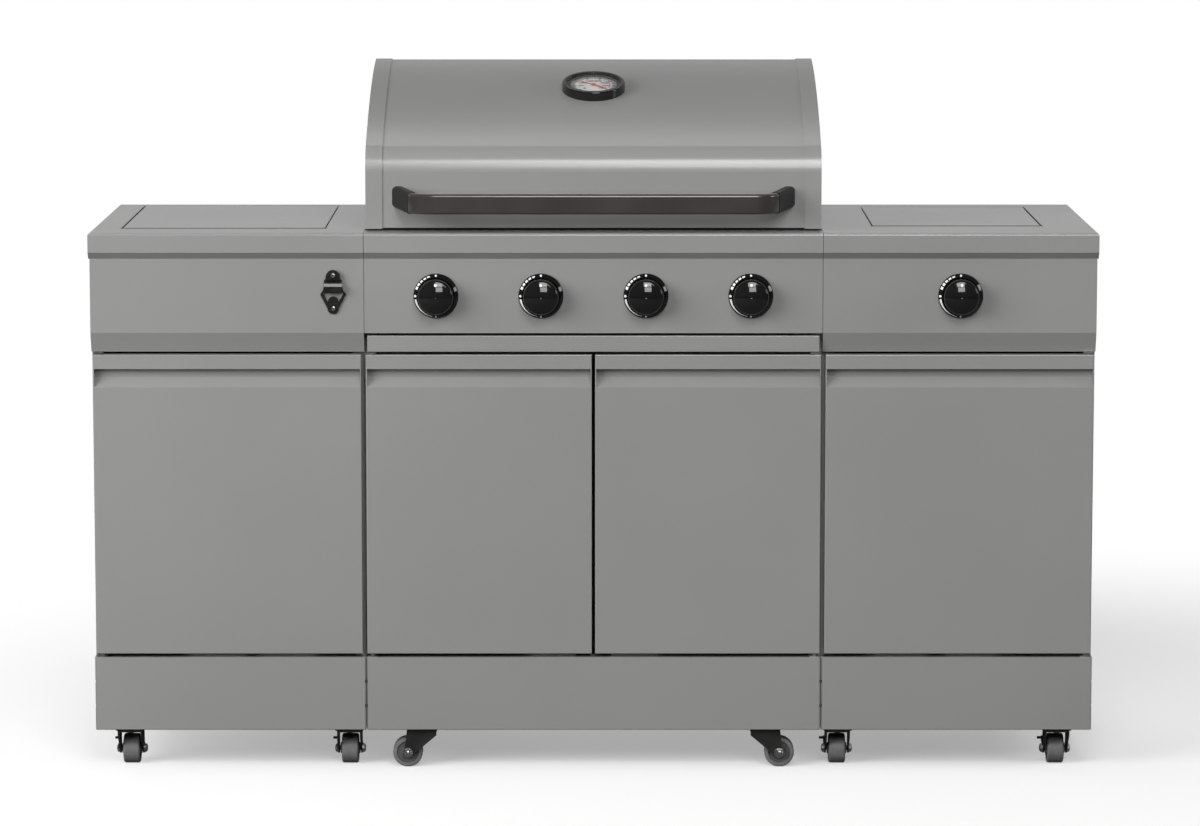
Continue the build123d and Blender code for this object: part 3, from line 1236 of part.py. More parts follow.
def build_worktops():
    """Worktops, lids and what hangs under them."""
    left_lid = lid_spans(LEFT_LID_SIZE, LEFT_LID_CENTRE)
    right_lid = lid_spans(RIGHT_LID_SIZE, RIGHT_LID_CENTRE)
    save("right_worktop", right_hand_worktop(right_lid))
    swapped = (mirrored(left_lid[0]), left_lid[1])
    save("left_worktop", mirror(right_hand_worktop(swapped), about=Plane.YZ))
    save("left_lid", worktop_lid(left_lid))
    save("right_lid", worktop_lid(right_lid))
    save("ice_tub", pressed_bowl(left_lid, TUB_DEPTH, TUB_CORNER))
    centre = [(pair[0] + pair[1]) / 2 for pair in right_lid]
    riser_hole = Pos(*centre, LID_SEAT_Z - BURNER_PAN_DEPTH) * Cylinder(SIDE_TUBE_RADIUS + BURNER_FIT, 20)
    save("side_burner_pan", pressed_bowl(right_lid, BURNER_PAN_DEPTH, BURNER_PAN_CORNER) - riser_hole)
    save("side_burner", *side_burner(right_lid))
    save("bottle_opener", *bottle_opener())


def build_grill():
    """Firebox, burners, grates, gas parts, knobs and grease tray."""
    save("firebox", firebox())
    save("burner_tubes", *burner_tubes())
    save("flame_tamers", *flame_tamers())
    save("cooking_grates", *cooking_grates())
    save("warming_rack", warming_rack())
    save("gas_manifold", *gas_manifold())
    save("knob_bezels", *[knob_bezel(x) for x in KNOBS_X + [SIDE_KNOB_X]])
    for number, x in enumerate(KNOBS_X):
        save(f"burner_knob_{number + 1}", knob(x))
    save("side_burner_knob", knob(SIDE_KNOB_X))
    save("grease_tray", *grease_tray())


def build_hood():
    """Hood with its hinges, handle and thermometer."""
    save("hood_skin", hood_skin())
    save("hood_left_cap", hood_cap(-1))
    save("hood_right_cap", hood_cap(1))
    save("hood_hinges", hood_hinge(-1), hood_hinge(1))
    save("handle_bar", handle_bar())
    save("handle_posts", handle_post(-1), handle_post(1))
    save("thermometer_case", *thermometer_case())
    save("thermometer_lens", thermometer_lens())
    save("thermometer_needle", thermometer_needle())


def build_casters():
    """Front casters, rear axles and everything that holds them."""
    mounts = []
    for number, (x, turn, braked) in enumerate(front_casters()):
        place = Pos(x, FRONT_Y + CASTER_FRONT, 0)
        mounts.append(place * caster_plate())
        save(f"caster_fork_{number + 1}", *[place * Rot(0, 0, turn) * piece for piece in caster_fork(braked)])
        wheel = Pos(0, TRAIL, WHEEL_RADIUS) * wheel_solid(AXLE_RADIUS + RUNNING_FIT)
        save(f"caster_wheel_{number + 1}", place * Rot(0, 0, turn) * wheel)
    for name, places in rear_casters().items():
        mounts += [Pos(x, FRONT_Y + REAR_AXLE, 0) * rear_bracket() for x in places]
        save(f"rear_wheels_{name}", *rear_wheel_pair(places))
    save("caster_mounts", *mounts)


os.makedirs("parts", exist_ok=True)
build_cabinets()
build_worktops()
build_grill()
build_hood()
build_casters()
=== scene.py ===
from math import asin, cos, pi, radians, sin, sqrt, tau

import bmesh
import bpy
from mathutils import Matrix, Vector


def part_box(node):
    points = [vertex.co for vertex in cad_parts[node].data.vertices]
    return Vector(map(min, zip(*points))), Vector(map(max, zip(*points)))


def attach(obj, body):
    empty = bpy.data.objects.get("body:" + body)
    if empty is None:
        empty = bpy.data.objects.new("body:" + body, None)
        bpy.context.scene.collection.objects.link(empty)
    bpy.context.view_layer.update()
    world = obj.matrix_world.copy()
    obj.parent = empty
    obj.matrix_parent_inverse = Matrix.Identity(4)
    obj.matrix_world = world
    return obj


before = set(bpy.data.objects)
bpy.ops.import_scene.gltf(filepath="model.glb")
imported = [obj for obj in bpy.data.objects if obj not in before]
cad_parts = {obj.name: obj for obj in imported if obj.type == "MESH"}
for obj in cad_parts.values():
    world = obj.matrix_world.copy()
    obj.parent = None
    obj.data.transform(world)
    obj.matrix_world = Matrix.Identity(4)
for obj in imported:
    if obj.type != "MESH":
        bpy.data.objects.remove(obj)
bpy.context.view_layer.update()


# Cabinets, worktops, lids, doors, grease tray and hood. All are folded from sheet steel and powder
# coated in one satin grey. The coat has a fine orange peel, varies a little over a large panel and
# is thinner, so a touch paler, where a fold or a cut edge is rubbed.

def effect_group(name, inputs, outputs):
    """Empty shader group with number sockets, and its two end nodes."""
    group = bpy.data.node_groups.new(name, "ShaderNodeTree")
    for label, value in inputs:
        socket = group.interface.new_socket(name=label, in_out="INPUT", socket_type="NodeSocketFloat")
        socket.default_value = value
    for label in outputs:
        group.interface.new_socket(name=label, in_out="OUTPUT", socket_type="NodeSocketFloat")
    return group, group.nodes.new("NodeGroupInput"), group.nodes.new("NodeGroupOutput")


def feed(tree, socket, value):
    """Links a socket to another node's output, or sets it to a constant."""
    if isinstance(value, bpy.types.NodeSocket):
        tree.links.new(value, socket)
    else:
        socket.default_value = value


def calculate(tree, kind, operation, *values):
    """Math or vector math node; each value is a constant or another node's output."""
    node = tree.nodes.new(kind)
    node.operation = operation
    for socket, value in zip(node.inputs, values):
        feed(tree, socket, value)
    return node


def remap(tree, value, given=(0.0, 1.0), made=(0.0, 1.0), smooth=False):
    """Output that carries a value from its given range over to the made one."""
    node = tree.nodes.new("ShaderNodeMapRange")
    node.interpolation_type = "SMOOTHSTEP" if smooth else "LINEAR"
    node.inputs["From Min"].default_value, node.inputs["From Max"].default_value = given
    node.inputs["To Min"].default_value, node.inputs["To Max"].default_value = made
    tree.links.new(value, node.inputs["Value"])
    return node.outputs["Result"]


surface_grain, given, result = effect_group(
    "surface_grain", [("Grain Scale", 900.0), ("Patch Scale", 3.0)], ["Height", "Patches"]
)
spot = surface_grain.nodes.new("ShaderNodeTexCoord")
for scale, detail, label in (("Grain Scale", 2.0, "Height"), ("Patch Scale", 5.0, "Patches")):
    noise = surface_grain.nodes.new("ShaderNodeTexNoise")
    noise.inputs["Detail"].default_value = detail
    surface_grain.links.new(spot.outputs["Object"], noise.inputs["Vector"])
    surface_grain.links.new(given.outputs[scale], noise.inputs["Scale"])
    spread = remap(surface_grain, noise.outputs["Fac"], (0.2, 0.8), smooth=True)
    surface_grain.links.new(spread, result.inputs[label])

edge_rub, given, result = effect_group("edge_rub", [("Radius", 0.0012), ("Break Scale", 45.0)], ["Rub"])
spot = edge_rub.nodes.new("ShaderNodeTexCoord")
rounded = edge_rub.nodes.new("ShaderNodeBevel")
rounded.samples = 4
surface = edge_rub.nodes.new("ShaderNodeNewGeometry")
breaks = edge_rub.nodes.new("ShaderNodeTexNoise")
edge_rub.links.new(given.outputs["Radius"], rounded.inputs["Radius"])
edge_rub.links.new(spot.outputs["Object"], breaks.inputs["Vector"])
edge_rub.links.new(given.outputs["Break Scale"], breaks.inputs["Scale"])
agree = calculate(
    edge_rub, "ShaderNodeVectorMath", "DOT_PRODUCT", rounded.outputs["Normal"], surface.outputs["Normal"]
)
edge = remap(edge_rub, agree.outputs["Value"], (0.985, 0.80))
worn = calculate(edge_rub, "ShaderNodeMath", "MULTIPLY", edge, breaks.outputs["Fac"])
edge_rub.links.new(worn.outputs["Value"], result.inputs["Rub"])


def new_finish(name):
    """New material, its node tree and its shader."""
    material = bpy.data.materials.new(name)
    material.use_nodes = True
    return material, material.node_tree, material.node_tree.nodes["Principled BSDF"]


def place_effect(tree, group, *values):
    """Puts an effect group into a material, with values for its inputs in their order."""
    node = tree.nodes.new("ShaderNodeGroup")
    node.node_tree = group
    for socket, value in zip(node.inputs, values):
        socket.default_value = value
    return node


def mix_colours(tree, mask, first, second):
    """Output that goes from a first colour or output to a second colour with a mask."""
    mix = tree.nodes.new("ShaderNodeMix")
    mix.data_type = "RGBA"
    share, first_colour, second_colour = mix.inputs[0], mix.inputs[6], mix.inputs[7]
    tree.links.new(mask, share)
    feed(tree, first_colour, first)
    second_colour.default_value = (*second, 1)
    return mix.outputs[2]


def add_relief(tree, shader, height, bump):
    """Lets a height stand out in relief; bump is its strength and distance."""
    relief = tree.nodes.new("ShaderNodeBump")
    relief.inputs["Strength"].default_value, relief.inputs["Distance"].default_value = bump
    tree.links.new(height, relief.inputs["Height"])
    tree.links.new(relief.outputs["Normal"], shader.inputs["Normal"])


def surface_finish(name, tones, roughness, grain, bump, rub=None, metallic=0.0, specular=0.5, coat=None):
    """Opaque finish in two tones, with roughness in patches, a grain in relief and rubbed edges."""
    material, tree, shader = new_finish(name)
    shader.inputs["Metallic"].default_value = metallic
    shader.inputs["Specular IOR Level"].default_value = specular
    if coat:
        shader.inputs["Coat Weight"].default_value, shader.inputs["Coat Roughness"].default_value = coat
    texture = place_effect(tree, surface_grain, *grain)
    patches = texture.outputs["Patches"]
    colour = mix_colours(tree, patches, (*tones[0], 1), tones[1])
    if rub:
        rub_colour, rub_radius = rub
        wear = place_effect(tree, edge_rub, rub_radius)
        colour = mix_colours(tree, wear.outputs["Rub"], colour, rub_colour)
    tree.links.new(colour, shader.inputs["Base Color"])
    tree.links.new(remap(tree, patches, made=roughness), shader.inputs["Roughness"])
    add_relief(tree, shader, texture.outputs["Height"], bump)
    return material


def dress(material, *names):
    """Gives CAD nodes a finish."""
    for name in names:
        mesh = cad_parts[name].data
        mesh.materials.clear()
        mesh.materials.append(material)


grey_coat = surface_finish(
    "grey_powder_coat", ((0.258, 0.258, 0.256), (0.280, 0.279, 0.276)), (0.22, 0.265), (1100.0, 2.2),
    (0.05, 0.0002), rub=((0.32, 0.32, 0.315), 0.0012), specular=0.7,
)
dress(
    grey_coat, "left_base_pan", "grill_base_pan", "right_base_pan",
    "left_cabinet_wrap", "grill_cabinet_wrap", "right_cabinet_wrap",
    "left_fascia", "control_panel", "right_fascia", "left_worktop", "right_worktop",
    "left_lid", "right_lid", "left_door", "grill_left_door", "grill_right_door", "right_door",
    "grease_tray", "hood_skin", "hood_left_cap", "hood_right_cap",
)


# Cabinet screws. Zinc-plated pan heads with a cross recess hold the backs, side walls and bases
# together. They are driven from outside, so only their low domed heads show on the sheet.

def add_ring(mesh, seat, radius, height, sides):
    """Ring of points round the +Z axis of a seat."""
    turns = [tau * step / sides for step in range(sides)]
    return [mesh.verts.new(seat @ Vector((radius * cos(turn), radius * sin(turn), height))) for turn in turns]


def join_rings(mesh, rings):
    """Faces from each ring of points to the next."""
    for low, high in zip(rings, rings[1:]):
        for step in range(len(low)):
            after = (step + 1) % len(low)
            mesh.faces.new((low[step], low[after], high[after], high[step]))


def add_screw(mesh, seat, radius, height):
    """One pan head with a sunk cross; seat carries +Z along the screw, out of the sheet."""
    dome = ((1.0, 0.0), (1.0, 0.35), (0.88, 0.78), (0.62, 1.0))
    rings = [add_ring(mesh, seat, share * radius, rise * height, 20) for share, rise in dome]
    join_rings(mesh, rings)
    arm, half = 0.46 * radius, 0.12 * radius
    corners = [(half, half), (half, arm), (-half, arm), (-half, half), (-arm, half), (-arm, -half),
               (-half, -half), (-half, -arm), (half, -arm), (half, -half), (arm, -half), (arm, half)]
    lip = [mesh.verts.new(seat @ Vector((x, y, height))) for x, y in corners]
    floor = [mesh.verts.new(seat @ Vector((0.7 * x, 0.7 * y, 0.35 * height))) for x, y in corners]
    border = []
    for ring in (rings[-1], lip):
        for step, vertex in enumerate(ring):
            after = ring[(step + 1) % len(ring)]
            border.append(mesh.edges.get((vertex, after)) or mesh.edges.new((vertex, after)))
    join_rings(mesh, [lip, floor])
    mesh.faces.new(floor)
    bmesh.ops.triangle_fill(mesh, edges=border, use_beauty=True)


def add_piece(name, mesh, material, body, smooth=True):
    """Turns a finished mesh into a piece that rides on a body."""
    bmesh.ops.recalc_face_normals(mesh, faces=mesh.faces)
    data = bpy.data.meshes.new(name)
    mesh.to_mesh(data)
    mesh.free()
    data.materials.append(material)
    if smooth:
        data.shade_smooth()
        data.set_sharp_from_angle(angle=radians(35))
    piece = bpy.data.objects.new(name, data)
    bpy.context.scene.collection.objects.link(piece)
    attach(piece, body)


def facing(point, outward, up=(0, 0, 1)):
    """Placement at a point with +Z along outward, which is not along up."""
    normal = Vector(outward).normalized()
    across = Vector(up).cross(normal).normalized()
    turned = Matrix((across, normal.cross(across), normal)).transposed().to_4x4()
    return Matrix.Translation(Vector(point)) @ turned


zinc = surface_finish(
    "zinc_plate", ((0.46, 0.45, 0.41), (0.60, 0.59, 0.56)), (0.29, 0.42), (700.0, 60.0), (0.12, 0.0001),
    metallic=1.0,
)
back_y, side_x = 0.278, 0.838
cabinets_x = ((-0.838, -0.3824), (-0.3816, 0.3816), (0.3824, 0.838))
edge_inset, middle_spread = 0.012, 0.12
edge_rows = (0.085, 0.172, 0.212, 0.37, 0.53, 0.69, 0.846)
base_and_top_rows = (0.172, 0.212, 0.846)
side_columns = (-0.20, 0.03, 0.25)
back_head = (0.0038, 0.0018)  # radius and height
side_head = (0.0034, 0.0015)
cabinet_screws = bmesh.new()
for left, right in cabinets_x:
    middle = (left + right) / 2
    for x, rows in (
        (left + edge_inset, edge_rows), (right - edge_inset, edge_rows),
        (middle - middle_spread, base_and_top_rows), (middle + middle_spread, base_and_top_rows),
    ):
        for z in rows:
            add_screw(cabinet_screws, facing((x, back_y, z), (0, 1, 0)), *back_head)
for side in (-1, 1):
    for y in side_columns:
        for z in base_and_top_rows:
            add_screw(cabinet_screws, facing((side * side_x, y, z), (side, 0, 0)), *side_head)
add_piece("cabinet_screws", cabinet_screws, zinc, "island")


# Casters. Six swivelling twin-cheek forks of black-coated pressed steel stand under the front
# corners, and fixed brackets at the back. The wheels are moulded in two plastics: a soft dark tread
# on a hard grey-black hub. A zinc bolt with hexagon head and nut is each front wheel's axle.

black_steel = surface_finish(
    "black_coated_steel", ((0.012, 0.012, 0.012), (0.024, 0.024, 0.023)), (0.32, 0.48), (800.0, 30.0),
    (0.14, 0.0002), rub=((0.10, 0.10, 0.095), 0.0010),
)
dress(black_steel, "caster_mounts", *[f"caster_fork_{number}" for number in range(1, 7)])


def repaint(material, mask, colour):
    """Lays another colour over a finish as far as the mask goes."""
    tree = material.node_tree
    base = tree.nodes["Principled BSDF"].inputs["Base Color"]
    tree.links.new(mix_colours(tree, mask, base.links[0].from_socket, colour), base)


def wheel_finish(name, across):
    """Wheel moulding: hub and tread by distance from the axle, whose direction across leaves out."""
    material = surface_finish(
        name, ((0.140, 0.140, 0.141), (0.180, 0.180, 0.179)), (0.42, 0.60), (600.0, 90.0), (0.25, 0.0003)
    )
    tree = material.node_tree
    spot = tree.nodes.new("ShaderNodeTexCoord").outputs["Generated"]
    centred = calculate(tree, "ShaderNodeVectorMath", "SUBTRACT", spot, (0.5, 0.5, 0.5))
    flat = calculate(tree, "ShaderNodeVectorMath", "MULTIPLY", centred.outputs["Vector"], across)
    reach = calculate(tree, "ShaderNodeVectorMath", "LENGTH", flat.outputs["Vector"])
    repaint(material, remap(tree, reach.outputs["Value"], (0.76, 0.73)), (0.095, 0.095, 0.097))
    return material


forward_wheel = wheel_finish("wheel_moulding_forward", (0.0, 2.0, 2.0))
sideways_wheel = wheel_finish("wheel_moulding_sideways", (2.0, 0.0, 2.0))
dress(
    forward_wheel, "caster_wheel_1", "caster_wheel_2", "caster_wheel_5", "caster_wheel_6",
    "rear_wheels_left", "rear_wheels_grill", "rear_wheels_right",
)
dress(sideways_wheel, "caster_wheel_3", "caster_wheel_4")


def add_lathe(mesh, seat, profile, sides=32):
    """Turned shape from (radius, height) points; it closes where the last one is on the axis."""
    rings = [add_ring(mesh, seat, radius, height, sides) for radius, height in profile if radius > 0]
    join_rings(mesh, rings)
    end_radius, end_height = profile[-1]
    if end_radius == 0:
        tip = mesh.verts.new(seat @ Vector((0, 0, end_height)))
        for step, vertex in enumerate(rings[-1]):
            mesh.faces.new((vertex, rings[-1][(step + 1) % sides], tip))


def add_hexagon(mesh, seat, across, height):
    """Hexagon nut with a turned chamfer on its outer face."""
    corner = across / sqrt(3)
    chamfer = ((1.0, 0.0), (1.0, 0.8), (0.86, 1.0))
    rings = [add_ring(mesh, seat, share * corner, rise * height, 6) for share, rise in chamfer]
    join_rings(mesh, rings)
    mesh.faces.new(rings[-1])


axle_z = 0.025
side_axle_y, grill_axle_y = -0.1915, -0.217
outer_x, seam_x, grill_x = 0.782, 0.412, 0.3135
# Middle of each front axle and its direction; the two under the grill stand turned outwards.
caster_axles = {
    1: ((-outer_x, side_axle_y, axle_z), (1, 0, 0)),
    2: ((-seam_x, side_axle_y, axle_z), (1, 0, 0)),
    3: ((-grill_x, grill_axle_y, axle_z), (0, 1, 0)),
    4: ((grill_x, grill_axle_y, axle_z), (0, 1, 0)),
    5: ((seam_x, side_axle_y, axle_z), (1, 0, 0)),
    6: ((outer_x, side_axle_y, axle_z), (1, 0, 0)),
}
fork_half = 0.0205
washer = [(0.0086, 0.0), (0.0086, 0.0010), (0.0070, 0.0013)]
washer_height = 0.0010
nut_across, nut_height = 0.0130, 0.0036
bolt_end = [(0.0043, 0.0040), (0.0043, 0.0050), (0.0034, 0.0056), (0, 0.0057)]
for number, (middle, along) in caster_axles.items():
    nuts = bmesh.new()
    for side in (-1, 1):
        outward = side * Vector(along)
        seat = facing(Vector(middle) + outward * fork_half, outward)
        add_lathe(nuts, seat, washer)
        add_hexagon(nuts, seat @ Matrix.Translation((0, 0, washer_height)), nut_across, nut_height)
        add_lathe(nuts, seat, bolt_end, 20)
    add_piece(f"axle_nuts_{number}", nuts, zinc, f"caster_fork_{number}")


# Doors. Pressed zinc-plated brackets on the jambs carry each door on two pins. A black moulded
# catch with a thin nose holds each free edge: on the jamb of a side cabinet, and on the base's
# rim where the two grill doors meet.

dress(zinc, "door_hinges", "hood_hinges")
black_plastic = surface_finish(
    "black_moulded_plastic", ((0.014, 0.014, 0.014), (0.022, 0.022, 0.022)), (0.48, 0.60), (1500.0, 40.0),
    (0.22, 0.0002), rub=((0.045, 0.045, 0.045), 0.0010),
)


def add_rounded_block(mesh, low, high, radius=0.001):
    """Block with rounded edges between two corners."""
    made = bmesh.ops.create_cube(mesh, size=1.0)["verts"]
    low, high = Vector(low), Vector(high)
    for vertex in made:
        vertex.co = Vector([low[i] + (vertex.co[i] + 0.5) * (high[i] - low[i]) for i in range(3)])
    edges = {edge for vertex in made for edge in vertex.link_edges}
    bmesh.ops.bevel(mesh, geom=list(edges), offset=radius, segments=2, affect="EDGES", profile=0.5)


catch_front, nose_front, nose_back = -0.2300, -0.2316, -0.2295
nose_inset, nose_round = 0.002, 0.0006


def add_catch(mesh, span_x, back, body_z, nose_z):
    """Catch with a thinner nose towards the door."""
    left, right = sorted(span_x)
    add_rounded_block(mesh, (left, catch_front, body_z[0]), (right, back, body_z[1]))
    nose_low = (left + nose_inset, nose_front, nose_z[0])
    nose_high = (right - nose_inset, nose_back, nose_z[1])
    add_rounded_block(mesh, nose_low, nose_high, nose_round)


jamb_inner, jamb_outer, jamb_back = 0.388, 0.401, -0.2240
jamb_rows, jamb_catch_height, jamb_nose = (0.30, 0.58), 0.038, (0.008, 0.030)
rim_inner, rim_outer, rim_back = 0.008, 0.030, -0.2200
rim_catch_z, rim_nose_z = (0.1911, 0.2080), (0.1985, 0.2065)
catches = bmesh.new()
for side in (-1, 1):
    for z in jamb_rows:
        body_z = (z, z + jamb_catch_height)
        nose_z = (z + jamb_nose[0], z + jamb_nose[1])
        add_catch(catches, (side * jamb_inner, side * jamb_outer), jamb_back, body_z, nose_z)
    add_catch(catches, (side * rim_inner, side * rim_outer), rim_back, rim_catch_z, rim_nose_z)
add_piece("door_catches", catches, black_plastic, "island")


# Drinks tub. Pressed from brushed stainless steel under the left lid, with a strainer over its
# drain. The brushing runs along the island and shows as fine parallel lines.

brushed_lines, given, result = effect_group("brushed_lines", [("Along", 4.0), ("Across", 900.0)], ["Lines"])
spot = brushed_lines.nodes.new("ShaderNodeTexCoord")
split = brushed_lines.nodes.new("ShaderNodeSeparateXYZ")
stretch = brushed_lines.nodes.new("ShaderNodeCombineXYZ")
lines = brushed_lines.nodes.new("ShaderNodeTexNoise")
lines.inputs["Scale"].default_value = 1.0
lines.inputs["Detail"].default_value = 3.0
brushed_lines.links.new(spot.outputs["Object"], split.inputs["Vector"])
for axis, label in (("X", "Along"), ("Y", "Across"), ("Z", "Across")):
    scaled = calculate(brushed_lines, "ShaderNodeMath", "MULTIPLY", split.outputs[axis], given.outputs[label])
    brushed_lines.links.new(scaled.outputs["Value"], stretch.inputs[axis])
brushed_lines.links.new(stretch.outputs["Vector"], lines.inputs["Vector"])
brushed_lines.links.new(lines.outputs["Fac"], result.inputs["Lines"])


def brushed_steel(name, tones, roughness, lengths):
    """Metal with fine brushing lines in its colour, roughness and relief."""
    material, tree, shader = new_finish(name)
    shader.inputs["Metallic"].default_value = 1.0
    brushing = place_effect(tree, brushed_lines, *lengths).outputs["Lines"]
    tree.links.new(mix_colours(tree, brushing, (*tones[0], 1), tones[1]), shader.inputs["Base Color"])
    tree.links.new(remap(tree, brushing, made=roughness), shader.inputs["Roughness"])
    add_relief(tree, shader, brushing, (0.12, 0.0002))
    return material


stainless = brushed_steel(
    "brushed_stainless", ((0.48, 0.48, 0.47), (0.64, 0.64, 0.63)), (0.28, 0.42), (5.0, 900.0)
)
dress(stainless, "ice_tub")
strainer_bar = ((-0.019, -0.0012, 0.0006), (0.019, 0.0012, 0.0020), 0.0004)
strainer_rim = [(0.026, 0.0), (0.026, 0.0012), (0.023, 0.0026), (0.019, 0.0022), (0.018, 0.0006)]
tub_sheet = 0.001
strainer = bmesh.new()
for bar in range(3):
    add_rounded_block(strainer, *strainer_bar)
    bmesh.ops.rotate(strainer, matrix=Matrix.Rotation(pi / 3, 3, "Z"), verts=strainer.verts)
add_lathe(strainer, Matrix.Identity(4), strainer_rim)
tub_low, tub_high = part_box("ice_tub")
drain = ((tub_low.x + tub_high.x) / 2, (tub_low.y + tub_high.y) / 2, tub_low.z + tub_sheet)
bmesh.ops.transform(strainer, matrix=Matrix.Translation(drain), verts=strainer.verts)
add_piece("tub_strainer", strainer, stainless, "island")


# Side burner. A cast-iron burner and trivet stand in a black enamelled steel pan under the right
# lid. The castings are seasoned black with a rough sand-cast skin; the enamel is smooth and shiny.

cast_iron = surface_finish(
    "seasoned_cast_iron", ((0.012, 0.0115, 0.011), (0.034, 0.032, 0.030)), (0.50, 0.74), (420.0, 25.0),
    (0.55, 0.0006), rub=((0.085, 0.08, 0.075), 0.0014),
)
black_enamel = surface_finish(
    "black_enamel", ((0.008, 0.008, 0.009), (0.020, 0.020, 0.021)), (0.16, 0.26), (260.0, 8.0),
    (0.10, 0.0003), rub=((0.05, 0.048, 0.045), 0.0014),
)
dress(cast_iron, "side_burner")
dress(black_enamel, "side_burner_pan")


# Grill. Four stainless tube burners with two rows of drilled ports, tents of folded stainless over
# them, cast-iron grates and a chromed wire rack, all in an enamelled firebox. Heat leaves the burners
# and tents straw to brown.

heat_steel = brushed_steel(
    "heat_tinted_steel", ((0.36, 0.33, 0.28), (0.60, 0.58, 0.54)), (0.28, 0.48), (7.0, 700.0)
)
chromed_wire = surface_finish(
    "chromed_wire", ((0.62, 0.62, 0.62), (0.76, 0.76, 0.76)), (0.10, 0.22), (500.0, 40.0), (0.05, 0.0001),
    metallic=1.0,
)
dress(black_enamel, "firebox")
dress(heat_steel, "burner_tubes", "flame_tamers")
dress(cast_iron, "cooking_grates")
dress(chromed_wire, "warming_rack")
dress(zinc, "gas_manifold")
# Painted shade: flat near-black discs on the tubes stand for the drilled port holes and their shaded insides.
port_hole_shade = surface_finish(
    "burner_port_hole_shade", ((0.003, 0.003, 0.003), (0.010, 0.009, 0.008)), (0.70, 0.90), (2000.0, 200.0),
    (0.2, 0.0001),
)
burner_pitch, burner_z, burner_radius = 0.1747, 0.802, 0.0125
burners_x = [burner_pitch * share for share in (-1.5, -0.5, 0.5, 1.5)]
port_tilt = 0.9  # to either side of the top, in radians
first_port_y, port_pitch, port_count = -0.140, 0.009, 33
port_sink = 0.00005
port = [(0.0012, 0.0), (0.0012, 0.00015), (0, 0.00015)]
ports = bmesh.new()
for x in burners_x:
    for tilt in (-port_tilt, port_tilt):
        outward = Vector((sin(tilt), 0, cos(tilt)))
        for step in range(port_count):
            axis_point = Vector((x, first_port_y + step * port_pitch, burner_z))
            seat = facing(axis_point + outward * (burner_radius - port_sink), outward, (0, 1, 0))
            add_lathe(ports, seat, port, 10)
add_piece("burner_ports", ports, port_hole_shade, "island")


# Controls. Gloss black moulded knobs turn in dished bezels of the same plastic. White pad-printed
# marks run round the bezel: off at the top, a graded wedge of ticks to high at the left and a
# tapering band down to low. Each knob has one white dot that points to them.

gloss_black = surface_finish(
    "gloss_black_plastic", ((0.006, 0.006, 0.0065), (0.010, 0.010, 0.0105)), (0.045, 0.085), (300.0, 12.0),
    (0.012, 0.0002),
)
knob_nodes = ["burner_knob_1", "burner_knob_2", "burner_knob_3", "burner_knob_4", "side_burner_knob"]
dress(gloss_black, "knob_bezels", *knob_nodes)
white_print = surface_finish(
    "white_print", ((0.74, 0.74, 0.73), (0.84, 0.84, 0.83)), (0.40, 0.55), (1800.0, 120.0), (0.05, 0.0001)
)
panel_y = -0.252
knobs_x, knob_z = (*burners_x, 0.611), burner_z
bezel_slope = ((0.0363, 0.0042), (0.0322, 0.0080))  # radius and height at its two edges
print_ring = 0.0343  # radius of the middle of the slope
print_lift = 0.00012


def bezel_point(x, turn, radius):
    """Point on the sloping face of a bezel; turn goes left from the top, as seen from the front."""
    (outer, low), (inner, high) = bezel_slope
    height = low + (outer - radius) / (outer - inner) * (high - low) + print_lift
    return Vector((x - radius * sin(turn), panel_y - height, knob_z + radius * cos(turn)))


def add_strip(mesh, rows):
    """Printed strip through rows of two points each."""
    made = [[mesh.verts.new(point) for point in row] for row in rows]
    for low, high in zip(made, made[1:]):
        mesh.faces.new((low[0], low[1], high[1], high[0]))


def add_bezel_band(mesh, x, turns, halves, steps):
    """Printed band from one turn to another, in degrees, with its half widths there."""
    rows = []
    for step in range(steps + 1):
        share = step / steps
        turn = radians(turns[0] + share * (turns[1] - turns[0]))
        half = halves[0] + share * (halves[1] - halves[0])
        rows.append([bezel_point(x, turn, print_ring + edge * half) for edge in (-1, 1)])
    add_strip(mesh, rows)


def add_bezel_dot(mesh, x, turn, radius):
    """Printed dot on the middle of a bezel's slope."""
    ring = []
    for step in range(16):
        angle = tau * step / 16
        away = radians(turn) + radius * cos(angle) / print_ring
        ring.append(mesh.verts.new(bezel_point(x, away, print_ring + radius * sin(angle))))
    mesh.faces.new(ring)


bezel_dots = ((0, 0.0018), (90, 0.0020), (180, 0.0015))  # turn in degrees, and radius
first_tick, tick_pitch, tick_reach = 21, 11.5, 4.0  # in degrees
tick_half, tick_growth = 0.0011, 0.0002
taper_turns, taper_halves = (99, 170), (0.0016, 0.0002)
marks = bmesh.new()
for x in knobs_x:
    for turn, radius in bezel_dots:
        add_bezel_dot(marks, x, turn, radius)
    for step in range(5):
        turn = first_tick + step * tick_pitch
        half = tick_half + tick_growth * step
        add_bezel_band(marks, x, (turn - tick_reach, turn + tick_reach), (half, half), 4)
    add_bezel_band(marks, x, taper_turns, taper_halves, 24)
add_piece("bezel_marks", marks, white_print, "island", smooth=False)

knob_reach = 0.036
dome_half, dome_rise = 0.024, 0.0054
dome_radius = (dome_half**2 + dome_rise**2) / (2 * dome_rise)
dot_up, dot_sides = 0.0206, 20
for node, x in zip(knob_nodes, knobs_x):
    dot = bmesh.new()
    rings = []
    for radius in (0.0, 0.0012, 0.0024):
        ring = []
        for step in range(dot_sides if radius else 1):
            angle = tau * step / dot_sides
            across, up = radius * cos(angle), dot_up + radius * sin(angle)
            height = knob_reach - dome_radius + sqrt(dome_radius**2 - across**2 - up**2) + print_lift
            ring.append(dot.verts.new((x + across, panel_y - height, knob_z + up)))
        rings.append(ring)
    (middle,), inner, outer = rings
    for step, vertex in enumerate(inner):
        dot.faces.new((middle, vertex, inner[(step + 1) % dot_sides]))
    join_rings(dot, [inner, outer])
    add_piece(f"{node}_dot", dot, white_print, node)
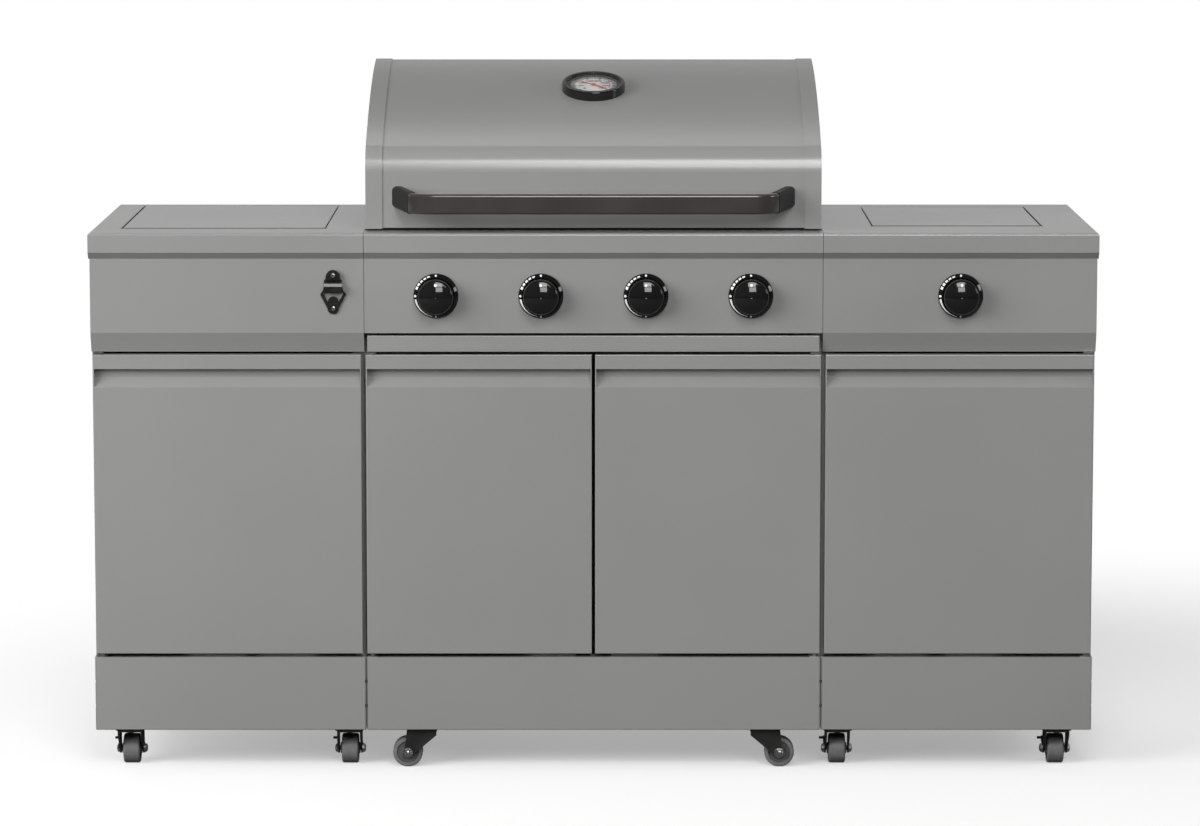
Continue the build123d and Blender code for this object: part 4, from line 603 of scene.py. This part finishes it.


# Hood handle. A flat steel bar, bent back at both ends and painted a dark bronze, is held by two
# black moulded posts. Zinc caps cover the ends of the hood's hinge pins. A woven rope under the hood's
# front edge closes the gap on the control panel's ledge; its near black is painted shade for that gap.

bronze_paint = surface_finish(
    "dark_bronze_paint", ((0.058, 0.050, 0.048), (0.074, 0.065, 0.062)), (0.28, 0.36), (900.0, 10.0),
    (0.05, 0.0002), metallic=0.45, coat=(1.0, 0.07),
)
dress(bronze_paint, "handle_bar")
dress(black_plastic, "handle_posts")
pin_x, pin_y, pin_z = 0.3804, 0.196, 0.937
pin_cap = [(0.0080, 0.0), (0.0080, 0.0008), (0.0062, 0.0016), (0.0030, 0.0019), (0, 0.0019)]
hinge_caps = bmesh.new()
for side in (-1, 1):
    add_lathe(hinge_caps, facing((side * pin_x, pin_y, pin_z), (side, 0, 0)), pin_cap)
add_piece("hood_hinge_caps", hinge_caps, zinc, "hood")
# Painted shade: the rope is near black so that the gap under the hood reads as shade.
gap_shade_rope = surface_finish(
    "woven_seal_gap_shade", ((0.004, 0.004, 0.004), (0.010, 0.010, 0.010)), (0.80, 0.95), (1600.0, 400.0),
    (0.5, 0.0004),
)
rope_front, rope_back, rope_foot = -0.2105, -0.2030, 0.9076
skin_half, skin_foot = 0.351, 0.9122
cap_inner, cap_outer, cap_foot = 0.353, 0.379, 0.9102
seal = bmesh.new()
for ends, top, rounding in (
    ((-skin_half, skin_half), skin_foot, 0.0015),
    ((-cap_outer, -cap_inner), cap_foot, 0.001),
    ((cap_inner, cap_outer), cap_foot, 0.001),
):
    add_rounded_block(seal, (ends[0], rope_front, rope_foot), (ends[1], rope_back, top), rounding)
add_piece("hood_front_seal", seal, gap_shade_rope, "hood")


# Thermometer. A black case on top of the hood holds a printed pale dial behind a flat glass, and a
# red pointer. The dial has a scale of ticks and figures round three quarters of its edge. The faces of
# the case that turn upwards are painted a little paler than its side: a painted sheen.

crown_y, crown_z, crown_radius = 0.320, 0.0934, 1.080  # axis and radius of the hood's crown
dial_y, dial_top = 0.011, 0.0078
lean = asin((crown_y - dial_y) / crown_radius)
dial_plane = Matrix((
    (1, 0, 0, 0),
    (0, cos(lean), -sin(lean), dial_y),
    (0, sin(lean), cos(lean), crown_z + crown_radius * cos(lean)),
    (0, 0, 0, 1),
))
dial_paper = surface_finish(
    "dial_enamel", ((0.60, 0.605, 0.595), (0.70, 0.705, 0.695)), (0.30, 0.42), (1400.0, 50.0),
    (0.05, 0.0001),
)
dial_ink = surface_finish(
    "dial_ink", ((0.010, 0.010, 0.012), (0.022, 0.022, 0.024)), (0.40, 0.55), (1600.0, 80.0), (0.04, 0.0001)
)
dial_red = surface_finish(
    "dial_red", ((0.42, 0.018, 0.022), (0.55, 0.035, 0.040)), (0.35, 0.50), (1500.0, 70.0), (0.05, 0.0001)
)
face_height, print_height = dial_top + 0.0002, dial_top + 0.0003
spindle_hole, face_radius = 0.0015, 0.0444
face = bmesh.new()
add_lathe(
    face, dial_plane,
    [(spindle_hole, dial_top + 0.00002), (spindle_hole, face_height), (face_radius, face_height)], 64,
)
add_piece("thermometer_face", face, dial_paper, "hood")
ring_inner, ring_crest, ring_outer = 0.0392, 0.0412, 0.0446
ring_step, ring_top = dial_top + 0.0012, dial_top + 0.0022
dial_ring = bmesh.new()
add_lathe(
    dial_ring, dial_plane,
    [(ring_inner, face_height), (ring_inner, ring_step), (ring_crest, ring_top), (ring_outer, ring_top)], 64,
)
add_piece("thermometer_dial_ring", dial_ring, dial_ink, "hood")


def add_dial_band(mesh, start, end, inner, outer, steps):
    """Printed band between two turns, in degrees right from the top, and two radii."""
    rows = []
    for step in range(steps + 1):
        turn = radians(start + (end - start) * step / steps)
        rows.append([
            dial_plane @ Vector((radius * sin(turn), radius * cos(turn), print_height))
            for radius in (inner, outer)
        ])
    add_strip(mesh, rows)


scale_end = 135  # degrees to either side of the top
division_count, figure_every = 35, 5
division = 2 * scale_end / division_count
scale_inner, scale_outer = 0.0376, 0.0382
long_tick, short_tick = (3.3, 0.0292), (2.4, 0.0322)  # half width in degrees, and inner radius
hot_start, hot_inner, hot_outer = 35, 0.0272, 0.0288
scale = bmesh.new()
add_dial_band(scale, -scale_end, scale_end, scale_inner, scale_outer, 90)
for tick in range(division_count + 1):
    turn = -scale_end + tick * division
    half, inner = short_tick if tick % figure_every else long_tick
    add_dial_band(scale, turn - half, turn + half, inner, scale_inner, 1)
add_piece("thermometer_scale", scale, dial_ink, "hood", smooth=False)
zone = bmesh.new()
add_dial_band(zone, hot_start, scale_end, hot_inner, hot_outer, 40)
add_piece("thermometer_hot_zone", zone, dial_red, "hood", smooth=False)
figure_ring = 0.0215
for place in range(8):
    figure = bpy.data.curves.new(f"thermometer_figure_{place}", "FONT")
    figure.body = str(place * 50)
    figure.size = 0.0088
    figure.offset = 0.0005
    figure.align_x = "CENTER"
    figure.align_y = "CENTER"
    drawn = bpy.data.objects.new(f"figure_{place}", figure)
    bpy.context.scene.collection.objects.link(drawn)
    outline = bpy.data.meshes.new_from_object(drawn)
    bpy.data.objects.remove(drawn)
    turn = radians(-scale_end + place * figure_every * division)
    middle = (figure_ring * sin(turn), figure_ring * cos(turn), print_height)
    outline.transform(dial_plane @ Matrix.Translation(middle))
    outline.materials.clear()
    outline.materials.append(dial_ink)
    piece = bpy.data.objects.new(f"thermometer_figure_{place}", outline)
    bpy.context.scene.collection.objects.link(piece)
    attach(piece, "hood")

gloss_case = surface_finish(
    "thermometer_case_black", ((0.008, 0.008, 0.008), (0.014, 0.014, 0.014)), (0.05, 0.10), (700.0, 20.0),
    (0.03, 0.0002),
)
# Painted sheen: the case's upward faces get a paler black from their facing alone, with the same roughness.
tree = gloss_case.node_tree
facet = tree.nodes.new("ShaderNodeTexCoord").outputs["Normal"]
rim_painted_sheen = calculate(tree, "ShaderNodeVectorMath", "DOT_PRODUCT", facet, (0, -sin(lean), cos(lean)))
repaint(gloss_case, remap(tree, rim_painted_sheen.outputs["Value"], (0.80, 0.98)), (0.075, 0.071, 0.067))
dress(gloss_case, "thermometer_case")
dress(dial_red, "thermometer_needle")
lens, tree, shader = new_finish("thermometer_glass")
shader.inputs["Base Color"].default_value = (0.96, 0.97, 0.97, 1)
shader.inputs["Transmission Weight"].default_value = 1.0
shader.inputs["IOR"].default_value = 1.45
shader.inputs["Alpha"].default_value = 0.14
smear = place_effect(tree, surface_grain, 400.0, 60.0)
tree.links.new(remap(tree, smear.outputs["Patches"], made=(0.02, 0.07)), shader.inputs["Roughness"])
dress(lens, "thermometer_lens")


# Bottle opener. A black casting, stove-enamelled to a gloss, with a hooked lip under a thicker pad.
# The slope of the lip is painted as a pale band, a painted reflection of the light above it. Two zinc
# pan-head screws fix it to the left fascia, one through the pad and one at its foot.

gloss_casting = surface_finish(
    "enamelled_casting", ((0.010, 0.010, 0.010), (0.022, 0.021, 0.020)), (0.20, 0.265), (500.0, 40.0),
    (0.10, 0.0003), rub=((0.05, 0.048, 0.045), 0.0008), coat=(1.0, 0.06),
)
lip_z, lip_half = 0.8208, 0.0023
tree = gloss_casting.node_tree
spot = tree.nodes.new("ShaderNodeTexCoord")
height = tree.nodes.new("ShaderNodeSeparateXYZ")
tree.links.new(spot.outputs["Object"], height.inputs["Vector"])
# Painted reflection: a pale band across the lip's slope, placed by height alone.
lip_painted_reflection = calculate(tree, "ShaderNodeMath", "COMPARE", height.outputs["Z"], lip_z, lip_half)
repaint(gloss_casting, lip_painted_reflection.outputs["Value"], (0.27, 0.265, 0.255))
dress(gloss_casting, "bottle_opener")
opener_x = -0.433
pad_screw, foot_screw = (0.8365, 0.0075), (0.7810, 0.0030)  # height, and how far its seat stands out
opener_head = (0.0041, 0.0026)
opener_screws = bmesh.new()
for z, proud in (pad_screw, foot_screw):
    add_screw(opener_screws, facing((opener_x, panel_y - proud, z), (0, -1, 0)), *opener_head)
add_piece("opener_screws", opener_screws, zinc, "island")


# Lid seals. A thin black rubber cord lies in the front gap of each worktop lid and stands a hair
# above the steel; it keeps rain out of the tub and off the side burner. Its near black is painted shade
# for the seam line in front of each lid.

# Painted shade: the near-black cord stands in for the shaded seam at each lid's front.
seam_shade_cord = surface_finish(
    "lid_cord_seam_shade", ((0.016, 0.016, 0.016), (0.028, 0.028, 0.028)), (0.55, 0.72), (900.0, 60.0),
    (0.2, 0.0002),
)
cord_front, cord_back = 0.0023, 0.0004  # in front of the lid
cord_depth, cord_rise = 0.0080, 0.0006  # under and over the lid's top
cord_round = 0.0006
cords = bmesh.new()
for lid in ("left_lid", "right_lid"):
    low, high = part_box(lid)
    cord_low = (low.x, low.y - cord_front, high.z - cord_depth)
    cord_high = (high.x, low.y - cord_back, high.z + cord_rise)
    add_rounded_block(cords, cord_low, cord_high, cord_round)
add_piece("lid_seals", cords, seam_shade_cord, "island")


# Studio. White floor and surroundings, a large soft light on the left, two broad lights in front that
# the knobs and the hood's bend mirror, a softbox on the right with a weaker one before it that glints
# on the bezels, and low light for the back.

def mix_shaders(tree, share, first, second):
    """Output that goes from one shader to another."""
    mix = tree.nodes.new("ShaderNodeMixShader")
    for socket, source in zip(mix.inputs, (share, first, second)):
        tree.links.new(source, socket)
    return mix.outputs["Shader"]


floor_mesh = bmesh.new()
bmesh.ops.create_circle(floor_mesh, cap_ends=True, segments=96, radius=40.0)
floor_data = bpy.data.meshes.new("studio_floor")
floor_mesh.to_mesh(floor_data)
floor_mesh.free()
studio_floor = bpy.data.objects.new("studio_floor", floor_data)
bpy.context.scene.collection.objects.link(studio_floor)
floor_paint = bpy.data.materials.new("studio_floor_paint")
floor_paint.use_nodes = True
floor_data.materials.append(floor_paint)
shadow_middle = (0.5, 0.1, 0.0)
shadow_reach = (0.9, 2.2)  # the floor glows more and more over this distance
tree = floor_paint.node_tree
tree.nodes.clear()
camera_ray = tree.nodes.new("ShaderNodeLightPath").outputs["Is Camera Ray"]
ground = tree.nodes.new("ShaderNodeNewGeometry").outputs["Position"]
aside = calculate(tree, "ShaderNodeVectorMath", "SUBTRACT", ground, shadow_middle)
distance = calculate(tree, "ShaderNodeVectorMath", "LENGTH", aside.outputs["Vector"])
fade = remap(tree, distance.outputs["Value"], shadow_reach, (0.36, 1.0), smooth=True)
far = calculate(tree, "ShaderNodeMath", "MULTIPLY", fade, camera_ray)
shade = tree.nodes.new("ShaderNodeBsdfDiffuse")
tree.links.new(remap(tree, camera_ray, made=(0.13, 1.05)), shade.inputs["Color"])
glow = tree.nodes.new("ShaderNodeEmission")
glow.inputs["Color"].default_value = (1, 1, 1, 1)
glow.inputs["Strength"].default_value = 1.0
surface_out = tree.nodes.new("ShaderNodeOutputMaterial")
floor_look = mix_shaders(tree, far.outputs["Value"], shade.outputs["BSDF"], glow.outputs["Emission"])
tree.links.new(floor_look, surface_out.inputs["Surface"])


def white_sky(tree, strength):
    """White background; its strength is a constant or another node's output."""
    sky = tree.nodes.new("ShaderNodeBackground")
    sky.inputs["Color"].default_value = (1, 1, 1, 1)
    feed(tree, sky.inputs["Strength"], strength)
    return sky.outputs["Background"]


surroundings = bpy.data.worlds.new("studio_surroundings")
bpy.context.scene.world = surroundings
surroundings.use_nodes = True
tree = surroundings.node_tree
tree.nodes.clear()
ray = tree.nodes.new("ShaderNodeLightPath")
direction = tree.nodes.new("ShaderNodeTexCoord")
parts = tree.nodes.new("ShaderNodeSeparateXYZ")
tree.links.new(direction.outputs["Generated"], parts.inputs["Vector"])
behind = remap(tree, parts.outputs["Y"], (-0.1, 0.6), smooth=True)
low_down = remap(tree, parts.outputs["Z"], (0.80, 0.15), smooth=True)
backdrop = calculate(tree, "ShaderNodeMath", "MULTIPLY", behind, low_down)
mirrored_level = remap(tree, backdrop.outputs["Value"], made=(0.06, 0.62))
unseen_sky = mix_shaders(
    tree, ray.outputs["Is Glossy Ray"], white_sky(tree, 0.14), white_sky(tree, mirrored_level)
)
seen = calculate(
    tree, "ShaderNodeMath", "MAXIMUM", ray.outputs["Is Camera Ray"], ray.outputs["Is Transmission Ray"]
)
sky_out = tree.nodes.new("ShaderNodeOutputWorld")
whole_sky = mix_shaders(tree, seen.outputs["Value"], unseen_sky, white_sky(tree, 1.0))
tree.links.new(whole_sky, sky_out.inputs["Surface"])


def softbox(name, place, target, size, power, mirrored=True):
    """Rectangular area light that faces a target; glossy pieces may mirror it or not."""
    data = bpy.data.lights.new(name, "AREA")
    data.shape = "RECTANGLE"
    data.size, data.size_y = size
    data.energy = power
    lamp = bpy.data.objects.new(name, data)
    lamp.location = place
    lamp.rotation_euler = (Vector(target) - Vector(place)).to_track_quat("-Z", "Y").to_euler()
    lamp.visible_glossy = mirrored
    bpy.context.scene.collection.objects.link(lamp)


softbox("front_softbox", (0.80, -5.3, 2.95), (0, -0.25, 0.85), (2.2, 1.5), 78)
softbox("front_strip", (0.55, -4.2, 4.1), (0, -0.25, 0.95), (2.2, 1.25), 84)
softbox("left_softbox", (-4.0, -3.0, 2.2), (0, 0, 0.6), (3.6, 2.8), 240, mirrored=False)
softbox("rear_strip", (0, 1.35, 3.7), (0, 0, 1.0), (3.6, 0.3), 9)
softbox("back_softbox", (-1.8, 5.0, 0.95), (0, 0.28, 0.55), (3.4, 1.5), 150, mirrored=False)
softbox("side_softbox", (3.6, -0.75, 1.75), (0, -0.26, 0.8), (0.8, 1.1), 19, mirrored=False)
softbox("side_glint", (3.4, -0.72, 1.70), (0, -0.26, 0.8), (0.75, 0.9), 11)


# Camera. A long lens stands 8.4 m in front of the island and looks down a little, from the place
# that was worked out from the photograph's perspective.

look_down, look_aside = 7.4479, 0.0069  # in degrees
camera_data = bpy.data.cameras.new("photo_camera")
camera_data.sensor_width = 36.0
camera_data.lens = 147.148
camera_data.clip_end = 200.0
photo_camera = bpy.data.objects.new("photo_camera", camera_data)
photo_camera.location = (0.00995, -8.37035, 1.66666)
photo_camera.rotation_euler = (radians(90 - look_down), 0, radians(-look_aside))
bpy.context.scene.collection.objects.link(photo_camera)
bpy.context.scene.camera = photo_camera
bpy.context.scene.view_settings.view_transform = "Standard"
